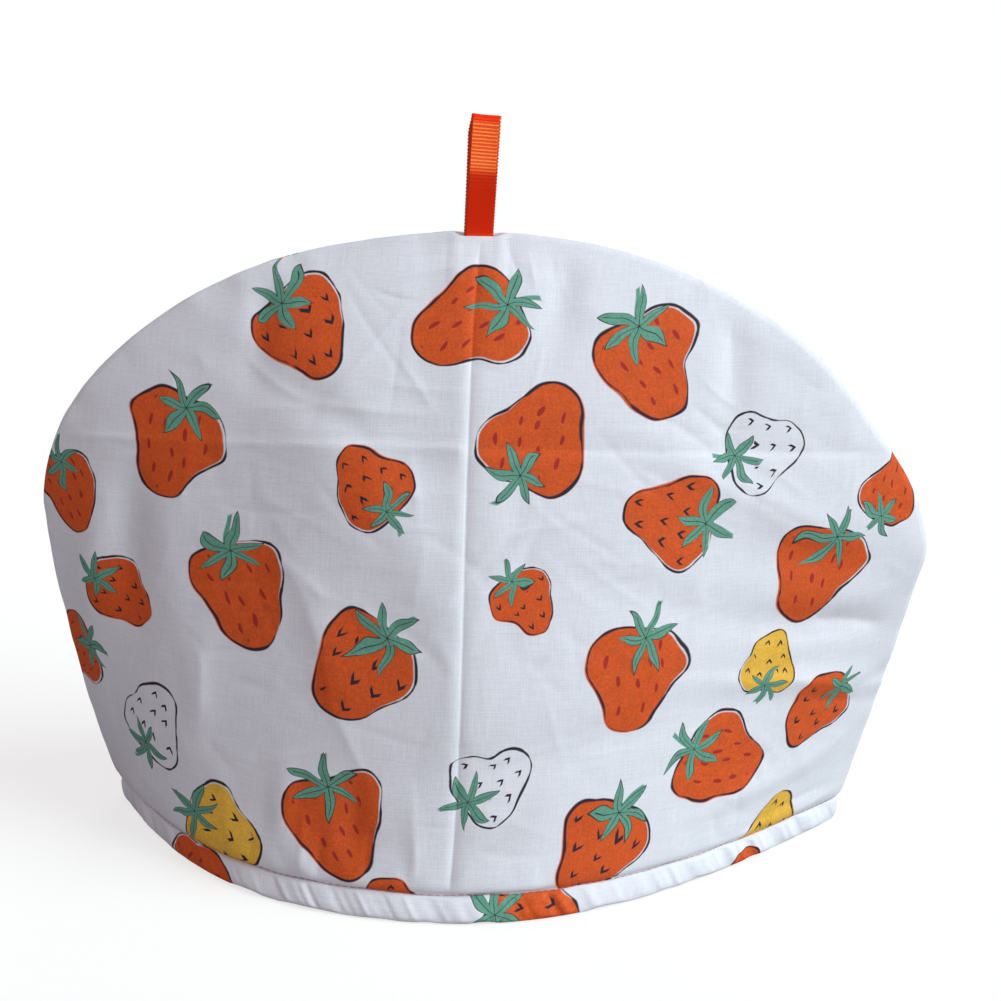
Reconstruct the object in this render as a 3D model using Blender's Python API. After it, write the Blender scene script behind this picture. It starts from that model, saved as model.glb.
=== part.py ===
"""Tea cosy: two padded dome-shaped panels, a binding folded round the hem, and a ribbon loop.

The panels are sewn together along an arch that stands in the plane y = 0. The front panel bulges
towards -Y and the back panel towards +Y. The cosy stands on its hem, and the origin is on the
table at the middle of its footprint. The tables and sizes below are in millimetres; the finished
meshes are in metres.
"""
import bmesh
import bpy
import numpy as np

METRES_PER_MM = 0.001

# Column numbers of the tables below; column 0 is always the height.
LEFT, RIGHT = 1, 2        # in ARCH and FULLNESS
OUT, MIDDLE = 1, 2        # in BULGE

# ---- driving dimensions ----
CROWN_HEIGHT = 240.5      # top of the arch seam above the table
CROWN_X = -4.75           # the crown, with the ribbon loop in it, is a little left of the middle
PADDING = 6.0             # thickness of a padded panel
SEAM_GAP = 0.3            # the two panels' edges stay this far apart along the arch
SEAM_ROLL = 4.5           # the padding rolls over to the arch seam in this radius
HEM_CORNER = 8.0          # radius of the hem's two corners, in plan
CORNER_HEIGHT = 30.0      # above this height a corner is as tight as the seam's roll
SEAM_DITCH = 1.5          # the stitched seam lies this far below the roll
THINNEST_ROLL = 0.8       # the smallest radius left where an inner face turns a corner
DITCH_FROM = 0.85         # part of the roll's turn after which the edge dips into the seam
NEAR_CROWN = 89.0         # degrees up the arch; the edges' lean is read no higher than this
UPRIGHT_BELOW = 40.0      # under this height the edges ease to upright, so that the hem is level

# The arch seam's silhouette. It is rounder on the left and has a point on the right.
# height, left edge, right edge
ARCH = (
    (0.0, -147.0, 147.0),
    (20.0, -153.0, 151.2),
    (45.0, -159.8, 157.0),
    (80.0, -166.8, 165.0),
    (106.0, -171.2, 170.4),
    (120.0, -172.6, 173.0),
    (132.0, -173.2, 170.2),
    (150.0, -169.6, 162.0),
    (171.0, -159.6, 146.4),
    (190.0, -143.2, 130.6),
    (205.0, -125.2, 113.4),
    (218.0, -104.2, 91.2),
    (230.0, -74.6, 63.2),
    (236.5, -45.5, 38.5),
    (CROWN_HEIGHT, CROWN_X, CROWN_X),
)

# How far a panel's middle stands out from its rolled edges, and where along X the middle is.
# height, bulge, middle
BULGE = (
    (0.0, 84.8, -10.5),
    (30.0, 75.8, -8.5),
    (60.0, 65.5, -7.5),
    (90.0, 55.5, -7.2),
    (120.0, 46.0, -7.2),
    (150.0, 37.0, -7.2),
    (180.0, 27.5, -7.0),
    (205.0, 18.6, -6.6),
    (222.0, 11.2, -6.0),
    (234.0, 4.8, -5.2),
    (CROWN_HEIGHT, 0.0, CROWN_X),
)

# A panel's plan falls from its middle to its edges as a parabola, with extra fullness if above 0.
# height, left fullness, right fullness
FULLNESS = (
    (0.0, 0.46, -0.17),
    (60.0, 0.38, -0.15),
    (140.0, 0.20, -0.08),
    (CROWN_HEIGHT, 0.0, 0.0),
)

# The panel's thinned edge inside the binding, and how its padding swells above the stitch line.
# height, outer face's inset, inner face's inset
HEM_ROWS = (
    (3.0, 2.9, 5.1),
    (9.8, 2.9, 5.1),
    (10.2, 2.2, 5.3),
    (11.2, 1.1, 5.7),
    (13.2, 0.3, 6.0),
    (18.0, 0.0, 6.0),
)
WALL_HEIGHTS = (32.0, 48.0, 66.0, 84.0, 102.0, 120.0, 132.0, 147.0)
CREASE_ROWS = (-4.5, 0.0, 4.5)        # rows either side of the pressed crease that runs across
UPPER_HEIGHTS = (184.0, 197.5, 209.5, 219.5, 228.0)
CROWN_CLIMBS = (75.5, 79.5, 83.2, 86.0, 87.9, 90.0)   # degrees up the arch, where its top is flat

# The binding's section: outer leg, the channel that holds the panels' edges, inner leg, foot.
# height, inset
BINDING_SECTION = (
    (0.0, 3.4),
    (0.5, 1.7),
    (2.2, 0.6),
    (5.0, 0.2),
    (7.6, 0.7),
    (9.2, 1.8),
    (9.4, 2.5),
    (2.6, 2.5),
    (2.6, 5.5),
    (9.0, 5.5),
    (9.2, 6.4),
    (5.0, 7.2),
    (1.2, 6.8),
    (0.0, 5.6),
)

# Creases from pressing: one runs down the middle of the front, one across it.
RELIEF_FROM = 14.0        # creases and folds start above this height
RELIEF_FULL = 34.0
RELIEF_MARGIN = 0.35      # and fade out where the cosine of a column's angle is under this
CREASE_DEPTH = 0.9
CREASE_HALF_WIDTH = 4.5
CROSS_CREASE_HEIGHT = 167.5
CROSS_CREASE_DROP = 9.0   # it is this much lower at the sides
CROSS_CREASE_REACH = 165.0

# Soft folds of the front: a positive rise stands out, a negative one is a dent.
# x, height, half length, half width, lean from level in degrees, rise
SOFT_FOLDS = (
    (-126.0, 112.0, 38.0, 9.0, 84.0, -2.2),
    (-150.0, 122.0, 26.0, 11.0, 80.0, 1.6),
    (-62.0, 100.0, 46.0, 8.0, -62.0, -1.5),
    (-58.0, 178.0, 40.0, 8.0, -24.0, -1.2),
    (-82.0, 212.0, 20.0, 7.0, 82.0, -1.5),
    (26.0, 222.0, 20.0, 6.0, 80.0, -1.8),
    (92.0, 186.0, 26.0, 8.0, 84.0, -1.3),
    (96.0, 150.0, 48.0, 7.0, -22.0, 1.1),
    (128.0, 96.0, 28.0, 7.0, 4.0, -1.8),
    (118.0, 74.0, 36.0, 6.0, 8.0, -1.6),
    (40.0, 62.0, 60.0, 9.0, 10.0, -1.0),
    (-74.0, 30.0, 17.0, 6.0, 86.0, 1.5),
    (-46.0, 28.0, 16.0, 6.0, 88.0, -1.4),
)

# The ribbon, doubled over and caught between the panels at the crown.
RIBBON_WIDTH = 10.8
RIBBON_THICKNESS = 1.0
RIBBON_TOP = 283.5
RIBBON_FREE_FROM = 242.0  # below this the two legs run straight down into the seam
RIBBON_FOOT = 235.6
LEG_SPACING = 1.25        # between the middles of the two legs, where the seam holds them
FRONT_BOW = 6.4
BACK_BOW = 4.6
BOW_POWER = 0.35          # lifts the loop's widest point a little above its middle
RIBBON_LEAN = 1.0         # the loop's top is this far right of its foot
BACK_LEG_SHIFT = 0.7      # the back leg hangs a little to the left of the front one
POCKET_CLEARANCE = 0.3
POCKET_REACH = 7.4        # the panels part this far either side of the ribbon's middle
POCKET_FADE = 9.0
POCKET_DEPTH = 26.0

# ---- mesh resolution ----
SLOPE_STEP = 1e-4         # radians either side of a point where the arch's slope is read
SHARP_ANGLE = 50.0        # degrees; edges sharper than this are shaded as edges
ROLL_STEPS = (0.35, 0.65, 0.88, 1.0)   # from a panel's face round to the seam, as parts of the turn
FACE_ANGLES = (1.3, 3.6, 9.0, 16.0, 23.5, 31.0, 38.5, 46.0, 53.5, 61.0, 68.5, 75.5, 82.5, 90.0)
RIBBON_STEPS = 34
RIBBON_CORNERS = ((-1, 1), (1, 1), (1, -1), (-1, -1))   # of its section: across, then outward

# ---- finishes: base colour, roughness ----
PRINTED_COTTON = ((0.78, 0.78, 0.82, 1.0), 0.85)
BINDING_COTTON = ((0.80, 0.80, 0.84, 1.0), 0.85)
ORANGE_RIBBON = ((0.83, 0.10, 0.015, 1.0), 0.6)


def through(knots, values, at):
    """Smooth curve through the values at the knots."""
    slopes = np.gradient(values, knots)
    i = np.clip(np.searchsorted(knots, at) - 1, 0, len(knots) - 2)
    span = knots[i + 1] - knots[i]
    t = (at - knots[i]) / span
    return (
        values[i] * (1 + 2 * t) * (1 - t) ** 2
        + slopes[i] * span * t * (1 - t) ** 2
        + values[i + 1] * t ** 2 * (3 - 2 * t)
        + slopes[i + 1] * span * t ** 2 * (t - 1)
    )


def at_height(table, column, height):
    """One column of a table, read between its rows at the heights given."""
    rows = np.array(table)
    return through(rows[:, 0], rows[:, column], height)


def arch_x(column, climb):
    """Left or right edge of the arch, read by climb angle because the crown is too flat for heights."""
    rows = np.array(ARCH)
    return through(np.arcsin(rows[:, 0] / CROWN_HEIGHT), rows[:, column], climb)


def ease(value, start, end):
    """0 before start, 1 after end and a smooth step between them."""
    t = np.clip((value - start) / (end - start), 0, 1)
    return t * t * (3 - 2 * t)


def silhouette(climb, column):
    """Points of one side of the arch and its outward normals: x, height, normal x, normal height."""
    before = np.clip(climb - SLOPE_STEP, 0, np.pi / 2)
    after = np.clip(climb + SLOPE_STEP, 0, np.pi / 2)
    run = arch_x(column, after) - arch_x(column, before)
    rise = CROWN_HEIGHT * (np.sin(after) - np.sin(before))
    length = np.hypot(run, rise)
    side = -1 if column == LEFT else 1
    height = CROWN_HEIGHT * np.sin(climb)
    upright = ease(height, 0, UPRIGHT_BELOW)
    return arch_x(column, climb), height, side * rise / length, -side * run / length * upright


def pocket(x, height):
    """How far each panel's edge gives way to the ribbon, added to half the seam gap."""
    room = (LEG_SPACING + RIBBON_THICKNESS) / 2 + POCKET_CLEARANCE - SEAM_GAP / 2
    near = 1 - ease(abs(x - CROWN_X), POCKET_REACH, POCKET_REACH + POCKET_FADE)
    return room * near * ease(height, CROWN_HEIGHT - POCKET_DEPTH, CROWN_HEIGHT - POCKET_DEPTH / 2)


def edge_lean(climb, column):
    """Angle between the seam's plane and a panel's face where the face starts to roll over."""
    climb = np.minimum(climb, np.radians(NEAR_CROWN))
    height = CROWN_HEIGHT * np.sin(climb)
    half_width = abs(arch_x(column, climb) - at_height(BULGE, MIDDLE, height))
    _, _, out_x, _ = silhouette(climb, column)
    fall = 2 * at_height(BULGE, OUT, height) * (1 + at_height(FULLNESS, column, height)) / half_width
    return np.arctan(fall / abs(out_x))


def wall(angle, roll, climb, inset, ditch=0.0):
    """Points of a face that lies inset under a panel's outline, as x, depth from the seam, height.

    angle runs from -90 degrees at the left seam to 90 at the right, climb from 0 at the hem to 90
    at the crown. x and height go with sin(angle) from the panel's middle to its edges, and depth
    with cos(angle) squared times the fullness. roll goes on from there, 0 to 1, round an arc that
    starts at the face's own lean and ends square to the seam, or dips there as deep as ditch.
    """
    level = CROWN_HEIGHT * np.sin(climb)
    corner = HEM_CORNER + (SEAM_ROLL - HEM_CORNER) * ease(level, 0, CORNER_HEIGHT)
    radius = np.maximum(corner - inset, THINNEST_ROLL)
    sides = []
    for column in (LEFT, RIGHT):
        x, height, out_x, out_height = silhouette(climb, column)
        lean = edge_lean(climb, column)
        under = inset + radius * (1 - np.sin(lean))
        fullness = at_height(FULLNESS, column, level)
        sides.append((x - out_x * under, height - out_height * under, out_x, out_height, lean, fullness))
    picked = [np.where(angle < 0, left, right) for left, right in zip(*sides)]
    edge_x, edge_height, out_x, out_height, lean, fullness = picked

    middle_x = at_height(BULGE, MIDDLE, level)
    middle_height = (sides[0][1] + sides[1][1]) / 2
    middle_face = (np.cos(sides[0][4]) + np.cos(sides[1][4])) / 2
    bulge = at_height(BULGE, OUT, level)
    deeper = inset - (corner - radius) * middle_face
    bulge = bulge ** 2 / np.maximum(bulge + deeper, THINNEST_ROLL)   # an inner face never passes the seam

    across = np.sin(abs(angle))
    turn = lean + roll * (np.pi / 2 - lean)
    beyond = radius * (np.sin(turn) - np.sin(lean)) - ditch * ease(roll, DITCH_FROM, 1)
    x = middle_x + (edge_x - middle_x) * across + out_x * beyond
    height = middle_height + (edge_height - middle_height) * across + out_height * beyond
    face = middle_face + (np.cos(turn) - middle_face) * across ** 2
    depth = radius * face + bulge * np.cos(angle) ** 2 * (1 + fullness * across ** 2)
    return x, depth, height


def front_relief(x, height, middle):
    """How far the front's creases and soft folds lift its face, in millimetres."""
    fold_down = np.clip(1 - abs(x - middle) / CREASE_HALF_WIDTH, 0, 1)
    cross_height = CROSS_CREASE_HEIGHT - CROSS_CREASE_DROP * (x / CROSS_CREASE_REACH) ** 2
    fold_across = np.clip(1 - abs(height - cross_height) / CREASE_HALF_WIDTH, 0, 1)
    # Cloth folded twice: the second crease stands out left of the first and sinks in right of it.
    flips = np.clip((middle - x) / CREASE_HALF_WIDTH, -1, 1)
    relief = CREASE_DEPTH * (flips * fold_across - fold_down * (1 - fold_across))
    for fold_x, fold_height, half_length, half_width, lean, rise in SOFT_FOLDS:
        c, s = np.cos(np.radians(lean)), np.sin(np.radians(lean))
        along = ((x - fold_x) * c + (height - fold_height) * s) / half_length
        beside = ((height - fold_height) * c - (x - fold_x) * s) / half_width
        relief = relief + rise * np.exp(-along ** 2 - beside ** 2)
    return relief * ease(height, RELIEF_FROM, RELIEF_FULL)


def panel_columns():
    """Angle and roll of each column of a panel, from the left seam to the right."""
    right = [(np.radians(angle), 0.0) for angle in FACE_ANGLES]
    right += [(np.pi / 2, roll) for roll in ROLL_STEPS]
    left = [(-angle, roll) for angle, roll in reversed(right)]
    return np.array(left + [(0.0, 0.0)] + right).T


def panel_rows():
    """Climb angle, outer inset and inner inset of each row, from the hem's edge to the crown."""
    heights = list(WALL_HEIGHTS)
    heights += [CROSS_CREASE_HEIGHT + step for step in CREASE_ROWS]
    heights += list(UPPER_HEIGHTS)
    rows = [(np.arcsin(h / CROWN_HEIGHT), outer, inner) for h, outer, inner in HEM_ROWS]
    rows += [(np.arcsin(h / CROWN_HEIGHT), 0.0, PADDING) for h in heights]
    rows += [(np.radians(climb), 0.0, PADDING) for climb in CROWN_CLIMBS]
    return np.array(rows).T


def panel_face(facing, outer, relief):
    """One face of a panel as rows x columns x 3 points, on the side of the seam that facing gives."""
    angle, roll = panel_columns()
    climb, outer_inset, inner_inset = (values[:, None] for values in panel_rows())
    level = CROWN_HEIGHT * np.sin(climb)
    if outer:
        ditch = SEAM_DITCH * ease(level, HEM_ROWS[1][0], HEM_ROWS[-1][0])
        x, depth, height = wall(angle, roll, climb, outer_inset, ditch)
    else:
        x, depth, height = wall(angle, roll, climb, inner_inset)
    if relief:
        fade = ease(np.cos(angle), 0, RELIEF_MARGIN) * (roll == 0)
        depth = depth + front_relief(x, height, at_height(BULGE, MIDDLE, level)) * fade
    depth = depth + SEAM_GAP / 2 + pocket(x, height)
    return np.stack([x, facing * depth, height], axis=-1)


def numbered(face, first):
    """A face's vertices and their numbers. All columns meet at the crown, so its last row has one
    vertex for the face itself and one for each step of the roll."""
    _, roll = panel_columns()
    rows, columns = face.shape[:2]
    crown_start = (rows - 1) * columns
    steps, column_of_step, step_of_column = np.unique(roll, return_index=True, return_inverse=True)
    numbers = np.arange(crown_start).reshape(rows - 1, columns)
    vertices = np.concatenate([face[:-1].reshape(-1, 3), face[-1, column_of_step]])
    return vertices, first + np.vstack([numbers, crown_start + step_of_column])


def strips(numbers):
    """Faces between neighbouring rows of a numbered grid, as triangles where two corners are one."""
    faces = []
    for low, high in zip(numbers[:-1], numbers[1:]):
        for a, b, c, d in zip(low[:-1], low[1:], high[1:], high[:-1]):
            face = list(dict.fromkeys((int(a), int(b), int(c), int(d))))
            if len(face) > 2:
                faces.append(face)
    return faces


def make_panel(name, facing, relief, material):
    """Closed padded panel: outer face, inner face, the edge along the seam and the edge at the hem."""
    outer, outer_numbers = numbered(panel_face(facing, True, relief), 0)
    inner, inner_numbers = numbered(panel_face(facing, False, False), len(outer))
    faces = strips(outer_numbers) + strips(inner_numbers)
    faces += strips(np.array([outer_numbers[:, 0], inner_numbers[:, 0]]))
    faces += strips(np.array([outer_numbers[:, -1], inner_numbers[:, -1]]))
    faces += strips(np.array([outer_numbers[0], inner_numbers[0]]))
    return new_solid(name, np.concatenate([outer, inner]), faces, material)


def make_binding(material):
    """Closed ring: the binding's section carried round the hem, front and back."""
    angle, roll = (values[:, None] for values in panel_columns())
    height, inset = np.array(BINDING_SECTION).T
    x, depth, _ = wall(angle, roll, np.arcsin(height / CROWN_HEIGHT), inset)
    front = np.stack([x, -depth - SEAM_GAP / 2, np.broadcast_to(height, x.shape)], axis=-1)
    front[0, :, 1] = front[-1, :, 1] = 0      # the ring runs on round both corners
    back = front[-2:0:-1] * (1, -1, 1)
    ring = np.concatenate([front, back])
    steps, points = ring.shape[:2]
    numbers = np.arange(steps * points).reshape(steps, points)
    numbers = np.vstack([numbers, numbers[:1]])
    numbers = np.hstack([numbers, numbers[:, :1]])
    return new_solid("hem_binding", ring.reshape(-1, 3), strips(numbers), material)


def ribbon_line():
    """The loop's middle line, from the front leg's foot over the top to the back leg's foot.

    Round the loop u goes from 0 to a full turn: height follows 1 - cos(u), and the bow to the front
    and back follows sin(u) times a power of sin(u / 2), which ends at the seam in a point.
    """
    u = np.linspace(0, 2 * np.pi, RIBBON_STEPS + 1)
    high = (1 - np.cos(u)) / 2
    bow = np.where(u < np.pi, FRONT_BOW, BACK_BOW)
    y = -LEG_SPACING / 2 * np.cos(u / 2) - bow * np.sin(u) * abs(np.sin(u / 2)) ** BOW_POWER
    height = RIBBON_FREE_FROM + (RIBBON_TOP - RIBBON_THICKNESS / 2 - RIBBON_FREE_FROM) * high
    x = CROWN_X + RIBBON_LEAN * high - np.where(u > np.pi, BACK_LEG_SHIFT * np.sin(u) ** 2, 0)
    line = np.stack([x, y, height], axis=-1)
    feet = np.array([[CROWN_X, -LEG_SPACING / 2, RIBBON_FOOT], [CROWN_X, LEG_SPACING / 2, RIBBON_FOOT]])
    return np.concatenate([feet[:1], line, feet[1:]])


def make_loop(material):
    """The ribbon: a flat section, wide along X, carried along its middle line."""
    line = ribbon_line()
    along = np.gradient(line, axis=0)
    along[:, 0] = 0
    along[:2] = along[-2:] = (0, 0, 1)
    along[-2:] *= -1
    along /= np.linalg.norm(along, axis=1)[:, None]
    across = np.array([RIBBON_WIDTH / 2, 0, 0])
    outward = np.cross([1, 0, 0], along) * RIBBON_THICKNESS / 2
    corners = [line + side * across + face * outward for side, face in RIBBON_CORNERS]
    numbers = np.arange(len(line) * len(corners)).reshape(len(line), len(corners))
    sides = strips(np.hstack([numbers, numbers[:, :1]]))
    ends = [numbers[0].tolist(), numbers[-1].tolist()]
    return new_solid("hanging_loop", np.stack(corners, axis=1).reshape(-1, 3), sides + ends, material)


def new_material(name, finish):
    """Principled material from a base colour and a roughness."""
    colour, roughness = finish
    material = bpy.data.materials.new(name)
    material.use_nodes = True
    shader = material.node_tree.nodes["Principled BSDF"]
    shader.inputs["Base Color"].default_value = colour
    shader.inputs["Roughness"].default_value = roughness
    shader.inputs["Metallic"].default_value = 0.0
    return material


def new_solid(name, vertices, faces, material):
    """Object from millimetre vertices, its faces turned to point outward and shaded smooth."""
    mesh = bpy.data.meshes.new(name)
    mesh.from_pydata((vertices * METRES_PER_MM).tolist(), [], faces)
    work = bmesh.new()
    work.from_mesh(mesh)
    bmesh.ops.triangulate(work, faces=work.faces[:])
    bmesh.ops.recalc_face_normals(work, faces=work.faces[:])
    work.to_mesh(mesh)
    work.free()
    mesh.shade_smooth()
    mesh.set_sharp_from_angle(angle=np.radians(SHARP_ANGLE))
    mesh.materials.append(material)
    solid = bpy.data.objects.new(name, mesh)
    bpy.context.collection.objects.link(solid)
    return solid


def main():
    for old in list(bpy.data.objects):
        bpy.data.objects.remove(old)
    make_panel("front_panel", -1, True, new_material("front_cotton", PRINTED_COTTON))
    make_panel("back_panel", 1, False, new_material("back_cotton", PRINTED_COTTON))
    make_binding(new_material("binding_cotton", BINDING_COTTON))
    make_loop(new_material("ribbon", ORANGE_RIBBON))


main()
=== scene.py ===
import math
from functools import partial
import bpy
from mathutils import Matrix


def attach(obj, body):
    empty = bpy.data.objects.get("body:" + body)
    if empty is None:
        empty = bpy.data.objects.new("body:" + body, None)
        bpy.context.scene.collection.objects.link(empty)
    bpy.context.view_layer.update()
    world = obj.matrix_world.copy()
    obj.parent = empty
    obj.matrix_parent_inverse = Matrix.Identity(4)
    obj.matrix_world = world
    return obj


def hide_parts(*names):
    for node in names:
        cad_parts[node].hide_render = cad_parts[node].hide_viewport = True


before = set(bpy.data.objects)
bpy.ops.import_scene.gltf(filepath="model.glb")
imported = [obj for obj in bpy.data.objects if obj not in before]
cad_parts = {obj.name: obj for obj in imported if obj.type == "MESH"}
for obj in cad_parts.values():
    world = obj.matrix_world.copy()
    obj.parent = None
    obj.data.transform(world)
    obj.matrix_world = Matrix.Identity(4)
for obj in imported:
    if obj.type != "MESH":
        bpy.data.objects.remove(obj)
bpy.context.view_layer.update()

from types import SimpleNamespace

import bmesh
import bpy
import numpy as np
from mathutils import Matrix

# Tea cosy: two padded panels of berry-printed cotton, a bound hem and a ribbon loop at the crown.
# Tables and sizes are in millimetres, as in the part's own source, and the meshes are in metres.
mm = 0.001
left, right = 1, 2        # columns of the arch and fullness tables
outward, middle = 1, 2    # columns of the bulge table


# camera: 20 degrees above the table, straight in front, turned a little about its own axis
camera = {
    "distance": 0.70,
    "elevation": 20.0,
    "turn": 1.593,
    "lens": 64.56,
    "sensor": 36.0,
    "nearest": 0.01,
    "target": (0.00515, 0.0, 0.13484),
}


def newObject(name, data, axes=None, at=(0, 0, 0)):
    # an object in the scene, turned to three axes where they are given
    made = bpy.data.objects.new(name, data)
    bpy.context.collection.objects.link(made)
    if axes is not None:
        place = np.eye(4)
        place[:3, :3] = np.array(axes).T
        place[:3, 3] = at
        made.matrix_world = Matrix(place.tolist())
    return made


def placeCamera(c):
    tilt, turn = math.radians(c["elevation"]), math.radians(c["turn"])
    away = np.array([0.0, -math.cos(tilt), math.sin(tilt)])
    up = np.array([0.0, math.sin(tilt), math.cos(tilt)])
    side = np.array([1.0, 0.0, 0.0])
    axes = [math.cos(turn) * side + math.sin(turn) * up, math.cos(turn) * up - math.sin(turn) * side, away]
    lens = bpy.data.cameras.new("camera")
    lens.lens, lens.sensor_width, lens.clip_start = c["lens"], c["sensor"], c["nearest"]
    bpy.context.scene.camera = newObject("camera", lens, axes, np.array(c["target"]) + c["distance"] * away)


placeCamera(camera)
print("camera placed")


# the cosy's shape, with the same tables and formulas as the solids
cosy = {
    "crownHeight": 240.5,
    "crownX": -4.75,
    "seamGap": 0.06,       # the cloth faces close up where the solids stay 0.3 apart
    "seamRoll": 4.5,
    "hemCorner": 8.0,
    "cornerHeight": 30.0,
    "seamDitch": 1.5,
    "thinnestRoll": 0.8,
    "ditchFrom": 0.85,
    "nearCrown": 89.0,
    "uprightBelow": 40.0,
    "archSteps": 400,
    # height, left edge, right edge
    "arch": (
        (0, -147, 147), (20, -153, 151.2), (45, -159.8, 157), (80, -166.8, 165), (106, -171.2, 170.4),
        (120, -172.6, 173), (132, -173.2, 170.2), (150, -169.6, 162), (171, -159.6, 146.4),
        (190, -143.2, 130.6), (205, -125.2, 113.4), (218, -104.2, 91.2), (230, -74.6, 63.2),
        (236.5, -45.5, 38.5), (240.5, -4.75, -4.75),
    ),
    # height, how far the middle bulges out, where the middle is
    "bulge": (
        (0, 84.8, -10.5), (30, 75.8, -8.5), (60, 65.5, -7.5), (90, 55.5, -7.2), (120, 46, -7.2),
        (150, 37, -7.2), (180, 27.5, -7), (205, 18.6, -6.6), (222, 11.2, -6), (234, 4.8, -5.2),
        (240.5, 0, -4.75),
    ),
    # height, left fullness, right fullness
    "fullness": ((0, 0.46, -0.17), (60, 0.38, -0.15), (140, 0.20, -0.08), (240.5, 0, 0)),
    # where the ribbon parts the panels
    "pocketX": -5.6,
    "pocketRoom": 1.28,
    "pocketReach": 5.8,
    "pocketFade": 6.2,
    "pocketDepth": 26.0,
}


def levelOf(climb):
    # height on the arch at a climb angle: 0 at the hem and the crown's height at a quarter turn
    return cosy["crownHeight"] * np.sin(climb)


def through(knots, values, at):
    # smooth cubic curve through the values at the knots, with each knot's slope taken from its neighbours
    slopes = np.gradient(values, knots)
    i = np.clip(np.searchsorted(knots, at) - 1, 0, len(knots) - 2)
    span = knots[i + 1] - knots[i]
    t = (at - knots[i]) / span
    return (values[i] * (1 + 2 * t) * (1 - t) ** 2 + slopes[i] * span * t * (1 - t) ** 2
            + values[i + 1] * t ** 2 * (3 - 2 * t) + slopes[i + 1] * span * t ** 2 * (t - 1))


def atHeight(table, column, height):
    # one column of a table, as a smooth curve over the heights
    rows = np.array(cosy[table])
    return through(rows[:, 0], rows[:, column], height)


def archX(column, climb):
    # an edge of the arch, read by climb angle, because the crown is too flat to be read by height
    rows = np.array(cosy["arch"])
    return through(np.arcsin(rows[:, 0] / cosy["crownHeight"]), rows[:, column], climb)


def ease(value, start, end):
    # 0 before start, 1 after end, and a smooth step between
    t = np.clip((value - start) / (end - start), 0, 1)
    return t * t * (3 - 2 * t)


def between(value, start, full, last, end):
    # 1 from full to last and 0 outside start and end, with a smooth step on each side
    return ease(value, start, full) * (1 - ease(value, last, end))


def silhouette(climb, column):
    # a side of the arch and its normal: the normal is the slope between two near points, turned square
    before, after = np.clip(climb - 1e-4, 0, np.pi / 2), np.clip(climb + 1e-4, 0, np.pi / 2)
    run = archX(column, after) - archX(column, before)
    rise = cosy["crownHeight"] * (np.sin(after) - np.sin(before))
    length = np.hypot(run, rise)
    side = -1 if column == left else 1
    height = levelOf(climb)
    upright = ease(height, 0, cosy["uprightBelow"])
    return archX(column, climb), height, side * rise / length, -side * run / length * upright


def pocket(x, height):
    # how far each panel steps back beside the ribbon: the room times a smooth step in x and one in height
    near = 1 - ease(abs(x - cosy["pocketX"]), cosy["pocketReach"], cosy["pocketReach"] + cosy["pocketFade"])
    low = cosy["crownHeight"] - cosy["pocketDepth"]
    return cosy["pocketRoom"] * near * ease(height, low, low + cosy["pocketDepth"] / 2)


def edgeLean(climb, column):
    # the face's own slope where it starts to roll over to the seam: twice the bulge over the half width
    climb = np.minimum(climb, math.radians(cosy["nearCrown"]))
    height = levelOf(climb)
    halfWidth = abs(archX(column, climb) - atHeight("bulge", middle, height))
    outX = silhouette(climb, column)[2]
    fall = 2 * atHeight("bulge", outward, height) * (1 + atHeight("fullness", column, height)) / halfWidth
    return np.arctan(fall / abs(outX))


def wall(across, roll, climb, inset, ditch=0.0):
    # Face that lies inset under a panel's outline. across runs from -1 at the left edge to 1 at the right
    # and climb from 0 at the hem to a quarter turn at the crown. Depth is the bulge times 1 - across squared
    # times the fullness, and roll, 0 to 1, goes on round an arc that ends square to the seam.
    level = levelOf(climb)
    corner = cosy["hemCorner"] + (cosy["seamRoll"] - cosy["hemCorner"]) * ease(level, 0, cosy["cornerHeight"])
    radius = np.maximum(corner - inset, cosy["thinnestRoll"])
    sides = []
    for column in (left, right):
        x, height, outX, outHeight = silhouette(climb, column)
        lean = edgeLean(climb, column)
        under = inset + radius * (1 - np.sin(lean))
        sides.append((x - outX * under, height - outHeight * under, outX, outHeight, lean,
                      atHeight("fullness", column, level)))
    picked = [np.where(across < 0, a, b) for a, b in zip(*sides)]
    edgeX, edgeHeight, outX, outHeight, lean, fullness = picked
    middleX = atHeight("bulge", middle, level)
    middleHeight = (sides[0][1] + sides[1][1]) / 2
    middleFace = (np.cos(sides[0][4]) + np.cos(sides[1][4])) / 2
    bulge = atHeight("bulge", outward, level)
    deeper = inset - (corner - radius) * middleFace
    bulge = bulge ** 2 / np.maximum(bulge + deeper, 1e-6)
    part = abs(across)
    turn = lean + roll * (np.pi / 2 - lean)
    beyond = radius * (np.sin(turn) - np.sin(lean)) - ditch * ease(roll, cosy["ditchFrom"], 1)
    x = middleX + (edgeX - middleX) * part + outX * beyond
    height = middleHeight + (edgeHeight - middleHeight) * part + outHeight * beyond
    face = middleFace + (np.cos(turn) - middleFace) * part ** 2
    depth = radius * face + bulge * (1 - part ** 2) * (1 + fullness * part ** 2)
    return x, depth, height


def normalsOf(grid):
    # unit normals of a grid of points: the cross product of its two directions
    normals = np.cross(np.gradient(grid, axis=1), np.gradient(grid, axis=0))
    return normals / np.maximum(np.linalg.norm(normals, axis=-1, keepdims=True), 1e-9)


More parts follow.
